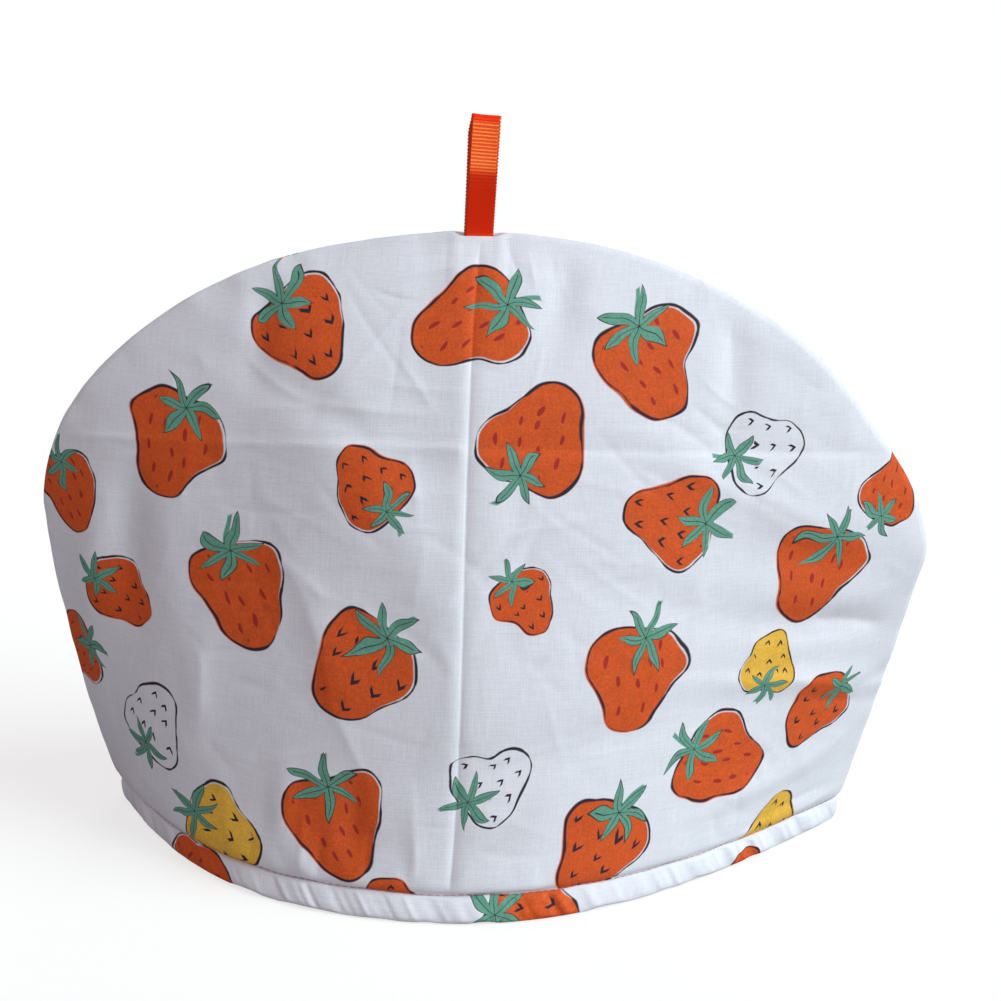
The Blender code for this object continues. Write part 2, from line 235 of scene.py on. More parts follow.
def toSeam(x, height):
    # distance to the arch: the gaps sideways and upward, joined as the height of the triangle they span
    climb = np.linspace(0, np.pi / 2, cosy["archSteps"])
    archHeight = levelOf(climb)
    sides = [archX(column, climb) for column in (left, right)]
    edges = [np.interp(height, archHeight, side) for side in sides]
    beside = np.maximum(np.minimum(x - edges[0], edges[1] - x), 1e-3)
    # from its widest place up to the crown, each side of the arch has one height for each x
    widest = [len(climb) - 1 - np.argmax(out[::-1]) for out in (-sides[0], sides[1])]
    xs = np.concatenate([sides[0][widest[0]:], sides[1][widest[1]:][::-1]])
    tops = np.concatenate([archHeight[widest[0]:], archHeight[widest[1]:][::-1]])
    above = np.maximum(np.interp(x, xs, tops) - height, 1e-3)
    return beside * above / np.hypot(beside, above)


def lengthAlong(points, axis=0):
    # length from the start of a line of points to each of them
    steps = np.cumsum(np.linalg.norm(np.diff(points, axis=axis), axis=-1), axis=axis)
    return np.concatenate([np.zeros_like(np.take(steps, [0], axis)), steps], axis=axis)


# folds and gathers
def folds(table, x, height):
    # sum of folds, each a bell along its own line and a bell across it: exp of minus both squares
    total = np.zeros(np.broadcast(x, height).shape)
    for foldX, foldHeight, halfLength, halfWidth, lean, rise in table:
        c, s = math.cos(math.radians(lean)), math.sin(math.radians(lean))
        along = ((x - foldX) * c + (height - foldHeight) * s) / halfLength
        beside = ((height - foldHeight) * c - (x - foldX) * s) / halfWidth
        total += rise * np.exp(-along ** 2 - beside ** 2)
    return total


# random folds and creases: where they may lie, which ways they lean and how far they stray, in degrees
loose = {
    "foldX": (-165, 165),
    "foldHeight": (14, 236),
    "foldLeans": (20, -35, 80, 100),
    "foldStray": 14,
    "creaseX": (-165, 160),
    "creaseHeight": (12, 236),
    "creaseLeans": (0, 4, 88, -38, 52),
    "creaseStray": 11,
    "creaseBow": (-0.05, 0.05),
    "rippleStray": 0.32,   # of a pitch
}


def strewn(seed, count, halfLength, halfWidth, rise):
    # a table of random folds over a panel, each value drawn between the two given
    draw = np.random.default_rng(seed)
    spread = partial(draw.uniform, size=count)
    lean = draw.choice(loose["foldLeans"], count) + draw.normal(0, loose["foldStray"], count)
    sign = draw.choice([-1, 1], count)
    return np.stack([spread(*loose["foldX"]), spread(*loose["foldHeight"]), spread(*halfLength),
                     spread(*halfWidth), lean, spread(*rise) * sign], axis=1)


def ripple(at, length, pitch, seed):
    # smooth run of random heights, one every pitch or so, that closes on itself after length
    draw = np.random.default_rng(seed)
    count = round(length / pitch)
    stray = loose["rippleStray"]
    knots = (np.arange(count) + draw.uniform(-stray, stray, count)) * length / count
    values = draw.uniform(-1, 1, count)
    knots = np.concatenate([knots - length, knots, knots + length])
    return through(knots, np.tile(values, 3), np.mod(at, length))


def pressedLine(gap, under, over):
    # a crease pressed into cloth: exp of minus the gap over the width on that side, blunted at the line
    blunt = 0.3
    return np.exp(-(np.hypot(gap, blunt) - blunt) / np.where(gap < 0, under, over))


def creases(table, x, height):
    # sum of creases, each from one point to another along a shallow bow, fading out towards both ends
    total = np.zeros(np.broadcast(x, height).shape)
    for x0, height0, x1, height1, bow, rise, under, over in table:
        length = math.hypot(x1 - x0, height1 - height0)
        c, s = (x1 - x0) / length, (height1 - height0) / length
        along = ((x - x0) * c + (height - height0) * s) / length
        gap = (height - height0) * c - (x - x0) * s - bow * (1 - (2 * along - 1) ** 2)
        fade = between(along, -0.12, 0.3, 0.7, 1.12)
        total += rise * pressedLine(gap, under, over) * fade
    return total


def scattered(seed, count, length, width, rise):
    # a table of random creases over a panel, mostly level, upright or on one slant
    draw = np.random.default_rng(seed)
    spread = partial(draw.uniform, size=count)
    lean = draw.choice(loose["creaseLeans"], count) + draw.normal(0, loose["creaseStray"], count)
    lean = np.radians(lean)
    reach = spread(*length)
    x0, height0 = spread(*loose["creaseX"]), spread(*loose["creaseHeight"])
    sign = draw.choice([-1, 1], count)
    bow = reach * spread(*loose["creaseBow"])
    return np.stack([x0, height0, x0 + reach * np.cos(lean), height0 + reach * np.sin(lean), bow,
                     sign * spread(*rise), spread(*width), spread(*width)], axis=1)


# meshes
def gridFaces(rows, columns):
    # the four corners of each face of a grid of points
    low = np.arange(rows * columns).reshape(rows, columns)
    return np.stack([low[:-1, :-1], low[:-1, 1:], low[1:, 1:], low[1:, :-1]], axis=-1).reshape(-1, 4)


def pairs(a, b):
    # two arrays as the two numbers of each place
    return np.stack(np.broadcast_arrays(a, b), axis=-1)


def bakeBox(u, v, box):
    # places in a box of the baked picture, from u and v between 0 and 1
    x0, y0, x1, y1 = box
    return pairs(x0 + (x1 - x0) * u, y0 + (y1 - y0) * v)


def bakeGrid(rows, columns, box):
    u, v = np.meshgrid(np.linspace(0, 1, columns), np.linspace(0, 1, rows))
    return bakeBox(u, v, box).reshape(-1, 2)


def newPiece(name, points, parts, materials):
    # Each part has its faces and its look, which is the number of its material. For each corner it has its
    # place in the bake, on the flat cloth and from the nearest berry; far is the place of no berry at all.
    far = 9.0
    mesh = bpy.data.meshes.new(name)
    faces = [face for part in parts for face in part["faces"].tolist()]
    mesh.from_pydata((points.reshape(-1, 3) * mm).tolist(), [], faces)
    for layer, key in (("OFBake", "bake"), ("flat", "flat")):
        if all(key in part for part in parts):
            values = np.concatenate([part[key].reshape(-1, 2) for part in parts])
            mesh.uv_layers.new(name=layer).uv.foreach_set("vector", values.ravel())
    if any("place" in part for part in parts):
        away = [part.get("place", np.full(part["faces"].shape + (3,), far)) for part in parts]
        values = np.concatenate([a.reshape(-1, 3) for a in away])
        mesh.attributes.new("berryPlace", "FLOAT_VECTOR", "CORNER").data.foreach_set("vector", values.ravel())
    looks = np.concatenate([np.full(len(part["faces"]), part.get("look", 0)) for part in parts])
    mesh.polygons.foreach_set("material_index", looks)
    work = bmesh.new()
    work.from_mesh(mesh)
    bmesh.ops.remove_doubles(work, verts=work.verts[:], dist=1e-7)
    bmesh.ops.recalc_face_normals(work, faces=work.faces[:])
    work.to_mesh(mesh)
    work.free()
    mesh.shade_smooth()
    mesh.set_sharp_from_angle(angle=math.radians(70))
    for material in materials:
        mesh.materials.append(material)
    piece = newObject(name, mesh)
    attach(piece, "root")
    return piece


def berryPlaces(table, flat, faces):
    # Every face takes its nearest berry. Its corners keep their place from that berry's middle, turned and
    # scaled by it, and the third number is the berry's kind plus a fraction that makes it differ from others.
    table = np.array(table, dtype=float)
    middles, size, turn, kind = table[:, :2], table[:, 2], np.radians(table[:, 3]), table[:, 4]
    centres = flat[faces].mean(axis=1)
    gaps = np.linalg.norm(centres[:, None] - middles[None], axis=-1) / size
    nearest = gaps.argmin(axis=1)
    away = flat[faces] - middles[nearest][:, None]
    c, s = np.cos(turn[nearest])[:, None], np.sin(turn[nearest])[:, None]
    x = (away[..., 0] * c + away[..., 1] * s) / size[nearest][:, None]
    y = (away[..., 1] * c - away[..., 0] * s) / size[nearest][:, None]
    code = kind[nearest] + 0.05 + 0.9 * ((nearest * 0.618) % 1)
    return np.stack(np.broadcast_arrays(x, y, code[:, None]), axis=-1)


# shader helpers
def feed(tree, socket, value):
    # a link where the value is another node's, and else the value set on the socket
    if isinstance(value, bpy.types.NodeSocket):
        tree.links.new(value, socket)
    elif value is not None:
        socket.default_value = value


def addNode(tree, kind, *inputs, **settings):
    made = tree.nodes.new("ShaderNode" + kind)
    for name, value in settings.items():
        setattr(made, name, value)
    for i, value in enumerate(inputs):
        feed(tree, made.inputs[i], value)
    return made


def calc(tree, operation, *inputs):
    return addNode(tree, "Math", *inputs, operation=operation).outputs[0]


def vector(tree, x, y, z=0.0):
    return addNode(tree, "CombineXYZ", x, y, z).outputs[0]


def split(tree, value):
    return addNode(tree, "SeparateXYZ", value).outputs


def radiusOf(tree, x, y):
    return addNode(tree, "VectorMath", vector(tree, x, y), operation="LENGTH").outputs[1]


def noise(tree, at, scale, detail, roughness):
    return addNode(tree, "TexNoise", at, None, scale, detail, roughness).outputs


def tint(tree, factor, a, b, how="MIX"):
    made = addNode(tree, "Mix", data_type="RGBA", blend_type=how)
    for i, value in ((0, factor), (6, a), (7, b)):
        feed(tree, made.inputs[i], value)
    return made.outputs[2]


def shaded(tree, colour, tone):
    # the colour times a grey of that tone
    return tint(tree, 1.0, colour, addNode(tree, "CombineColor", tone, tone, tone).outputs[0], "MULTIPLY")


def under(tree, value, edge, soft):
    # 1 where the value is under the edge and 0 where it is over it, with a short ramp between
    low, high = calc(tree, "SUBTRACT", edge, soft), calc(tree, "ADD", edge, soft)
    return addNode(tree, "MapRange", value, low, high, 1.0, 0.0).outputs[0]


def toolsFor(tree):
    # the helpers above with the tree filled in, and one for each kind of sum; mulAdd is a times b plus c
    sums = {"add": "ADD", "sub": "SUBTRACT", "mul": "MULTIPLY", "div": "DIVIDE", "mulAdd": "MULTIPLY_ADD",
            "power": "POWER", "sine": "SINE", "cosine": "COSINE", "angle": "ARCTAN2", "size": "ABSOLUTE",
            "least": "MINIMUM", "most": "MAXIMUM", "whole": "FLOOR", "part": "FRACT", "nearest": "ROUND",
            "isAbout": "COMPARE"}
    made = {name: partial(calc, tree, operation) for name, operation in sums.items()}
    helpers = (addNode, vector, split, radiusOf, noise, tint, shaded, under)
    made.update((helper.__name__, partial(helper, tree)) for helper in helpers)
    return SimpleNamespace(**made)


def newGroup(name, inputs, outputs):
    group = bpy.data.node_groups.new(name, "ShaderNodeTree")
    for label, kind, value in inputs:
        socket = group.interface.new_socket(label, in_out="INPUT", socket_type=kind)
        if value is not None:
            socket.default_value = value
    for label, kind in outputs:
        group.interface.new_socket(label, in_out="OUTPUT", socket_type=kind)
    return group, group.nodes.new("NodeGroupInput").outputs, group.nodes.new("NodeGroupOutput").inputs


def useGroup(tree, group, **values):
    made = tree.nodes.new("ShaderNodeGroup")
    made.node_tree = group
    for name, value in values.items():
        feed(tree, made.inputs[name], value)
    return made.outputs


def newMaterial(name, **settings):
    material = bpy.data.materials.new(name)
    material.use_nodes = True
    tree = material.node_tree
    shader = tree.nodes["Principled BSDF"]
    for socket, value in settings.items():
        shader.inputs[socket.replace("_", " ")].default_value = value
    return material, tree, shader


def finishMaterial(tree, shader, colour, roughness, height=None, distance=0.0):
    feed(tree, shader.inputs["Base Color"], colour)
    feed(tree, shader.inputs["Roughness"], roughness)
    if height is not None:
        bump = addNode(tree, "Bump")
        feed(tree, bump.inputs["Distance"], distance)
        feed(tree, bump.inputs["Height"], height)
        feed(tree, shader.inputs["Normal"], bump.outputs[0])


# plain weave: threads both ways over and under each other, with thicker threads here and there, and painted
# shade that darkens the colour where the threads dip
weaving = {
    "slub": (0.09, 1.7),        # noise to a millimetre along a thread and across it
    "grain": 1.3,
    # painted shade: how much lighter the tops of the threads are than their dips
    "paintedDipShade": 0.05,
    "crownHeight": 0.5,
    "slubHeight": 0.9,
    "grainHeight": 0.8,
}


def plainWeave(w):
    group, given, made = newGroup(
        "plainWeave",
        [("Flat", "NodeSocketVector", None), ("Thread", "NodeSocketFloat", 0.42),
         ("Slubs", "NodeSocketFloat", 0.05)],
        [("Shade", "NodeSocketFloat"), ("Height", "NodeSocketFloat")])
    m = toolsFor(group)
    apart = m.split(given["Flat"])
    u, v = (m.mul(m.div(apart[i], given["Thread"]), math.pi) for i in (0, 1))
    # crowned is 1 on the top of a thread and 0 where it dips: the size of the product of both sines
    crowned = m.size(m.mul(m.sine(u), m.sine(v)))
    along, beside = w["slub"]
    streaks = [m.noise(m.vector(m.mul(apart[0], du), m.mul(apart[1], dv)), 1.0, 2.0, 0.55)[0]
               for du, dv in ((along, beside), (beside, along))]
    slub = m.sub(m.add(*streaks), 1.0)
    grain = m.noise(given["Flat"], w["grain"], 3.0, 0.6)[0]
    shade = m.mulAdd(slub, given["Slubs"], 1.0)
    shade = m.mulAdd(m.sub(grain, 0.5), given["Slubs"], shade)
    # Shade holds the thicker threads' and the grain's own tone, plus painted shade: lighter where the threads
    # crown, darker where they dip
    feed(group, made["Shade"], m.mulAdd(crowned, w["paintedDipShade"], shade))
    height = m.mulAdd(slub, w["slubHeight"], m.mul(crowned, w["crownHeight"]))
    feed(group, made["Height"], m.mulAdd(grain, w["grainHeight"], height))
    return group


berry = {
    "orange": (0.635, 0.084, 0.0075, 1.0),
    "ochre": (0.78, 0.45, 0.05, 1.0),
    "leaf": (0.138, 0.360, 0.268, 1.0),
    "leafShade": (0.05, 0.20, 0.13, 1.0),
    "seedRed": (0.36, 0.018, 0.012, 1.0),
    "line": (0.020, 0.010, 0.022, 1.0),
    # lengths are in halves of a berry's length
    "push": (0.42, 0.36),
    "offPrint": (0.040, -0.022),
    "soft": 0.012,
    "crownAt": 0.60,
    "leafReach": (0.13, 0.46),
    "stalk": (0.28, 0.24, 0.045),    # its middle and half its length, up from the crown, and half its width
    "seedPitch": (0.33, 0.37),
    "tickSpread": 1.25,    # ticks stand this much further apart than dashes
    "seedStray": 0.36,
    "dash": (0.034, 0.088),
    "tick": (0.074, 0.04),
    "seedsInside": 0.13,
    "lineWeight": 0.027,
    "lineSoft": 0.008,
    "mottle": (0.34, 6.0),      # strength, and grains to a length
    "speckle": (0.75, 26.0),
}


# a printed berry round the origin, tip down, about 1 in half its length; kinds: 0 orange with dashes,
# 1 orange with ticks, 2 ochre with ticks, 3 left the colour of the cloth
def printedBerry(b):
    group, given, made = newGroup(
        "printedBerry",
        [("Place", "NodeSocketVector", None), ("Cloth", "NodeSocketColor", (0.8, 0.8, 0.84, 1.0))],
        [("Colour", "NodeSocketColor"), ("Ink", "NodeSocketFloat")])
    m = toolsFor(group)
    apart = m.split(given["Place"])
    kind = m.whole(apart[2])
    seed = m.mul(m.part(apart[2]), 40.0)
    # the hand's unevenness: noise pushes the place about before the shape is read
    wobble = m.noise(m.vector(apart[0], m.add(apart[1], seed), kind), 1.15, 1.0, 0.4)[1]
    push = m.addNode("SeparateColor", wobble).outputs
    x, y = (m.add(apart[i], m.mul(m.sub(push[i], 0.5), b["push"][i])) for i in (0, 1))
    # body: with c the cosine of the angle from the tip, its radius is 0.8 + 0.07 c c + c (0.5 c c - 0.375)
    r = m.most(m.radiusOf(x, y), 0.01)
    c, s = m.div(m.mul(y, -1.0), r), m.div(x, r)
    c2 = m.mul(c, c)
    radius = m.add(m.mulAdd(c2, 0.07, 0.80), m.mul(c, m.mulAdd(c2, 0.50, -0.375)))
    body = m.sub(r, radius)
    # the colour is printed a little off its outline
    offX, offY = b["offPrint"]
    fill = m.under(m.add(body, m.add(m.mul(s, offX), m.mul(c, offY))), 0.0, b["soft"])
    # leaves: a star of six points round the top of the body, whose reach falls from each point by the
    # size of the sine of three times the angle, with a vein down each leaf and a short stalk
    upCrown = m.sub(y, b["crownAt"])
    rho = m.radiusOf(x, upCrown)
    phi = m.mulAdd(push[2], 1.5, m.angle(x, upCrown))
    spoke = m.size(m.sine(m.mul(phi, 3.0)))
    short, more = b["leafReach"]
    reach = m.mulAdd(m.power(m.sub(1.0, spoke), 0.75), more, short)
    star = m.sub(rho, m.mul(reach, m.mulAdd(push[0], 0.9, 0.55)))
    vein = m.mul(m.under(m.mul(spoke, rho), 0.016, 0.006), m.under(star, -0.10, 0.02))
    at, half, width = b["stalk"]
    bend = m.mul(m.mul(upCrown, upCrown), 0.5)
    stalk = m.most(m.size(m.sub(x, bend)), m.sub(m.size(m.sub(upCrown, at)), half))
    leaf = m.most(m.under(star, 0.0, b["soft"]), m.under(stalk, width, b["soft"]))
    # seeds: staggered rows, each seed pushed about in its cell
    dashes = m.under(kind, 0.5, 0.1)      # 1 for the kind with dashes
    spread = m.mulAdd(dashes, 1 - b["tickSpread"], b["tickSpread"])
    pitchX, pitchY = (m.mul(spread, pitch) for pitch in b["seedPitch"])
    row = m.div(y, pitchY)
    rowNumber = m.whole(row)
    column = m.add(m.div(x, pitchX), m.mul(rowNumber, 0.5))
    cell = m.vector(m.whole(column), rowNumber, m.nearest(seed))
    stray = m.addNode("SeparateColor", m.addNode("TexWhiteNoise", cell).outputs[1]).outputs
    back = -0.5 - b["seedStray"] / 2
    cx = m.mul(m.add(m.part(column), m.mulAdd(stray[0], b["seedStray"], back)), pitchX)
    cy = m.mul(m.add(m.part(row), m.mulAdd(stray[1], b["seedStray"], back)), pitchY)
    # dash: a long oval, slanted a little; tick: two strokes that meet in a point
    dash = m.radiusOf(m.div(m.mulAdd(cy, 0.22, cx), b["dash"][0]), m.div(cy, b["dash"][1]))
    away = m.size(cx)
    stroke = m.size(m.sub(m.mul(away, 1.35), m.add(cy, 0.045)))
    tick = m.most(m.div(stroke, b["tick"][1]), m.div(away, b["tick"][0]))
    seedShape = m.add(m.mul(dash, dashes), m.mul(tick, m.sub(1.0, dashes)))
    inside = m.mul(m.under(body, -b["seedsInside"], 0.01), m.sub(1.0, m.under(star, 0.05, 0.01)))
    seeds = m.mul(m.under(seedShape, 1.0, 0.12), inside)
    # outlines: a pen line whose weight changes on its way round, and lifts off in places
    pen = m.noise(m.vector(m.mul(x, 1.7), m.mul(y, 1.7), m.add(seed, 5.0)), 1.0, 2.0, 0.6)[0]
    weight = m.least(m.most(m.mulAdd(pen, 0.10, -0.028), 0.0), b["lineWeight"])
    ring = m.mul(m.under(m.size(body), weight, b["lineSoft"]), m.sub(1.0, leaf))
    edge = m.under(m.size(star), m.mul(weight, 0.75), b["lineSoft"])
    # tones
    uneven, blotches = b["mottle"]
    rough, grains = b["speckle"]
    place = m.vector(x, y, seed)
    mottle = m.noise(place, blotches, 3.0, 0.6)[0]
    speckle = m.mulAdd(m.sub(m.noise(place, grains, 2.0, 0.6)[0], 0.5), rough, 1.0)
    tone = m.mul(m.mulAdd(mottle, uneven, 1 - uneven / 2), speckle)
    ink = m.tint(m.isAbout(kind, 2.0, 0.4), b["orange"], b["ochre"])
    ink = m.tint(m.isAbout(kind, 3.0, 0.4), m.shaded(ink, tone), given["Cloth"])
    green = m.shaded(m.tint(m.mul(mottle, 0.5), b["leaf"], b["leafShade"]), speckle)
    dark = m.most(vein, m.mul(edge, 0.95))
    seedInk = m.tint(dashes, b["line"], b["seedRed"])
    colour = given["Cloth"]
    for mask, over in ((fill, ink), (seeds, seedInk), (ring, b["line"]), (leaf, green), (dark, b["line"])):
        colour = m.tint(mask, colour, over)
    feed(group, made["Colour"], colour)
    feed(group, made["Ink"], m.most(fill, m.most(leaf, ring)))
    return group


weave = plainWeave(weaving)
berryPrint = printedBerry(berry)
cotton = {
    "cloth": (0.745, 0.755, 0.815, 1.0),
    "roughness": 0.86,
    "inkRoughness": 0.78,
    "crownRoughness": -0.04,
    "threadPitch": 0.42,
    "slubs": 0.19,
    "bump": 0.00005,
}


def cottonMaterial(name, printed, c):
    # woven cloth; where it is printed, the ink is a little smoother than the cloth
    material, tree, shader = newMaterial(name, Sheen_Weight=0.05, Sheen_Roughness=0.5, Specular_IOR_Level=0.4)
    m = toolsFor(tree)
    flat = m.addNode("UVMap", uv_map="flat").outputs[0]
    cloth = useGroup(tree, weave, Flat=flat, Thread=c["threadPitch"], Slubs=c["slubs"])
    if printed:
        place = m.addNode("Attribute", attribute_name="berryPlace").outputs["Vector"]
        berries = useGroup(tree, berryPrint, Place=place, Cloth=c["cloth"])
        colour = berries["Colour"]
        rough = m.mulAdd(berries["Ink"], c["inkRoughness"] - c["roughness"], c["roughness"])
    else:
        colour = c["cloth"]
        rough = m.mulAdd(cloth["Height"], c["crownRoughness"], c["roughness"])
    # the cloth's colour times the weave's Shade, which carries the weave's own tone and the painted shade in
    # the dips between threads
    finishMaterial(tree, shader, m.shaded(colour, cloth["Shade"]), rough, cloth["Height"], c["bump"])
    return material


printedCotton = cottonMaterial("printedCotton", True, cotton)
plainCotton = cottonMaterial("plainCotton", False, cotton)
print("cotton ready")


# panels
panel = {
    "faceColumns": 270,
    "rollColumns": 9,
    "creaseColumns": 3,    # extra ones each side of the middle crease
    "rows": 300,
    "innerEvery": 3,      # the inner face is this much coarser
    # the outer face under the binding and the swell above the stitch line: height, inset
    "outerInset": (
        (3, 2.9), (9.6, 2.9), (9.9, 2.75), (10.4, 2), (11.2, 1.25), (12.4, 0.7), (14, 0.38), (17, 0.14),
        (22, 0),
    ),
    "innerInset": ((3, 5.1), (9.8, 5.1), (10.2, 5.3), (11.2, 5.7), (13.2, 6)),
    "hemHeights": (3, 4.5, 6, 7.5, 9, 9.6, 9.9, 10.15, 10.4, 10.75, 11.2, 11.7, 12.4, 13.1, 14, 15, 16.2),
    "gather": 0.30,       # puckers across the arch seam: how high, how far apart and how far in
    "gatherPitch": 6.5,
    "gatherReach": 8.0,
    "gatherRound": (80, 165),       # height of the middle and radius of the circle they are spaced on
    "hemGather": 0.32,    # and above the binding
    "hemPitch": 7.5,
    "hemHalf": 180,       # half the length of the hem
    "hemLean": 0.25,
    "hemGatherUp": (9.9, 11.5, 12, 26),
    "shoulder": (2.2, 8.0),         # how far the face falls back at the seam, and over what way
    "roofBlunt": 2.0,
    "acrossReach": 165.0,           # the crease across drops by its drop over this way from the middle
    "acrossTurn": 3.4,    # and turns from standing out to sinking in over this way
    "crossing": 0.6,      # how much of the crease down is lost in the one across
    # over which distance in from the seam, which heights or which degrees of climb a form comes in or ends
    "reliefIn": (0.5, 14),
    "roofIn": (0, 60),
    "dentsIn": (4, 24),
    "ditchUp": (9.8, 18),
    "reliefUp": (10.5, 16),
    "shoulderUp": (12, 60),
    "roofUp": (12, 90),
    "foldsUp": (14, 34),
    "gatherUp": (14, 30),
    "crownOut": (87, 90),
    "drawnWidth": (5.0, 10.5),      # the dip in the seam at the ribbon: its flat part and its reach
    "drawnFrom": (206, 240),
    "dents": (60, (12, 34), (6, 12), (0.1, 0.5)),      # in the inner face
    "dentSeed": 51,
    "outerBake": (0.004, 0.30, 0.996, 0.996),
    "innerBake": (0.004, 0.004, 0.58, 0.292),
    "rimBake": (0.60, 0.01, 0.99, 0.07),
    "rimsApart": 0.09,
    "rimSize": (300, 4),
}
front = {
    "roofRise": 6.0,
    "roofWidth": 48.0,
    "downDepth": 1.05,
    "downWidths": (1.5, 3.1),        # left and right of the line
    "acrossDepth": 0.66,
    "acrossWidths": (4.2, 1.4),      # the dull side and the crisp side
    "acrossHeight": 167.5,
    "acrossDrop": 9.0,
    "drawnDown": 1.3,
    # x, height, half length, half width, lean from level in degrees, rise
    "folds": (
        (-54, 163, 46, 28, -75, 5.2), (-24, 128, 24, 12, -70, 1.5), (-136.5, 122, 22, 7, 84, -4.4),
        (-132, 96, 34, 8, 86, -1.6), (-152, 112, 26, 8, 84, 1.8), (-58, 99, 32, 9, -68, 1.1),
        (-58, 178, 40, 8, -24, -1.5), (-84, 212, 22, 6, 84, -1.6), (26, 222, 20, 7, 80, -1.5),
        (92, 190, 26, 7, 86, -1.5), (100, 148, 48, 7, -28, 1.5), (130, 96, 30, 7, -8, -2),
        (120, 74, 36, 6, -10, 1.4), (40, 62, 60, 9, 10, -1.3), (-74, 30, 19, 5.5, 86, 1.8),
        (-46, 30, 18, 5.5, 88, -1.7), (-108, 72, 24, 6, 84, 1.2), (-22, 24, 18, 6, 88, 1),
        (-146, 60, 30, 8, 80, -1.6), (10, 140, 40, 9, 30, 0.8), (66, 112, 40, 9, -14, -1),
        (104, 30, 34, 6, 12, 1.3), (96, 138, 58, 36, 88, -3.2), (-88, 52, 46, 30, 88, -2.8),
        (134, 121, 36, 11, -6, -2.2),
    ),
    # from x, height to x, height, bow, rise, and the widths to its right and to its left
    "creases": (
        (-28, 166, -24, 139, 0.5, 0.30, 1.4, 0.9), (-90, 195, -66, 181, -1.5, 0.55, 2.2, 2.6),
        (-69, 182, -19, 179, -1.5, 0.50, 1.7, 2.6), (-34, 198, -19, 179, 0.5, 0.34, 1.7, 1.2),
        (-77, 127, -65, 112, 0.5, 0.6, 3, 7), (-67, 116, -54, 73, 1, 0.75, 3.6, 7),
        (-59, 80, -40, 46, 1, 0.45, 3, 1.8), (-131, 148, -123, 142, 0, -0.20, 0.9, 0.9),
        (-124, 145, -90, 149, 0, -0.16, 1.2, 1.4), (-87, 158, -86, 144, 0, -0.28, 1.5, 1.5),
        (-77, 127, -56, 110, 1, 0.34, 2, 2.2), (-106, 87, -107, 60, 0.8, 0.55, 2.2, 1.6),
        (-120, 64, -112, 40, 1, 0.3, 2.6, 1.8), (-85, 22, -87, 8, 0, -0.50, 1.6, 1.6),
        (-65, 34, -66, 12, 0, 0.65, 1.8, 1.8), (-58, 30, -60, 11, 0, -0.60, 1.4, 2),
        (-39, 36, -42, 14, 0, -0.62, 1.8, 1.8), (-22, 30, -24, 12, 0, 0.40, 1.6, 1.6),
        (-99, 40, -95, 16, 0.5, 0.34, 2, 1.4), (20, 240, 22, 226, 1, -0.45, 2.6, 3),
        (3, 241, 10, 226, 0, -0.45, 1.4, 1.9), (12, 238, 16, 222, 0, 0.35, 1.6, 1.4),
        (89, 213, 91, 187, 0.5, -0.55, 3, 3), (74, 183, 94, 166, 0.8, -0.40, 2, 1.4),
        (60, 180, 87, 163, 1, -0.32, 1.6, 1.6), (80, 163, 131, 131, -2, -0.45, 3.2, 2.4),
        (92, 166, 124, 145, 1, 0.30, 1.5, 1.5), (129, 97, 156, 90, 1, -0.85, 2.2, 3.2),
        (108, 77, 145, 65, 1.5, 0.75, 3, 2.4), (124, 65, 152, 56, 0.5, -0.75, 2.4, 2.6),
        (96, 12, 142, 21, 0.8, -0.80, 1.5, 4), (118, 11, 150, 17, 0.5, 0.60, 1.8, 1.4),
        (90, 27, 94, 11, 0, -0.42, 1.5, 2), (68, 85, 130, 76, 2, -0.50, 3, 5),
        (38, 47, 94, 51, -2, -0.40, 4, 4), (-4, 176.4, 74, 175.6, 0, -0.16, 0.9, 2),
        (2, 171.6, 60, 171, 0, -0.12, 0.8, 1.2), (-8, 163, 44, 162.6, 0, 0.10, 0.8, 1.4),
        (-150, 154, -96, 157, 0, 0.14, 1.6, 0.8), (-70, 171.5, -10, 172.5, 0, 0.12, 1.6, 0.8),
        (17, 190, 20, 168, 0, -0.14, 1.4, 0.9), (30, 128, 84, 124, 1, 0.14, 1.4, 0.9),
        (-150, 88, -128, 96, 0.5, 0.22, 1.8, 1.2),
    ),
    "strewn": (11, 90, (6, 22), (2.6, 6.0), (0.08, 0.34)),
    "scattered": (17, 300, (8, 40), (0.6, 2.2), (0.07, 0.29)),
    "gatherSeed": 3,
    # berries on the flat cloth: place from the middle of the hem's edge, half length, turn, kind
    "berries": (
        (-128, 52, 20, 155, 3), (-140, 104, 17, 60, 1), (-112, 168, 23, -24, 0), (-63, 214, 21, 40, 1),
        (0, 219, 22, -62, 0), (66, 205, 23, 20, 0), (112, 170, 17, 100, 3), (139, 121, 23, -20, 0),
        (-84, 116, 23, 14, 0), (-94, 18, 21, 75, 2), (-34, 158, 17, -140, 1), (24, 176, 23, 158, 0),
        (-36, 92, 22, -38, 1), (22, 118, 14, 35, 1), (78, 146, 21, -100, 1), (66, 88, 23, -8, 0),
        (-44, 32, 23, 22, 0), (12, 50, 17, 128, 3), (56, 22, 22, -30, 1), (104, 48, 22, 62, 0),
        (122, 84, 14, 170, 2), (150, 60, 18, -50, 1), (-160, 142, 18, 20, 0), (-20, -2, 16, -160, 1),
        (-104, 274, 16, 30, 2), (102, 244, 16, 80, 1), (-24, 276, 15, 10, 3), (-172, 70, 18, -70, 0),
        (168, 150, 16, 150, 0), (140, 6, 18, 170, 2),
    ),
}
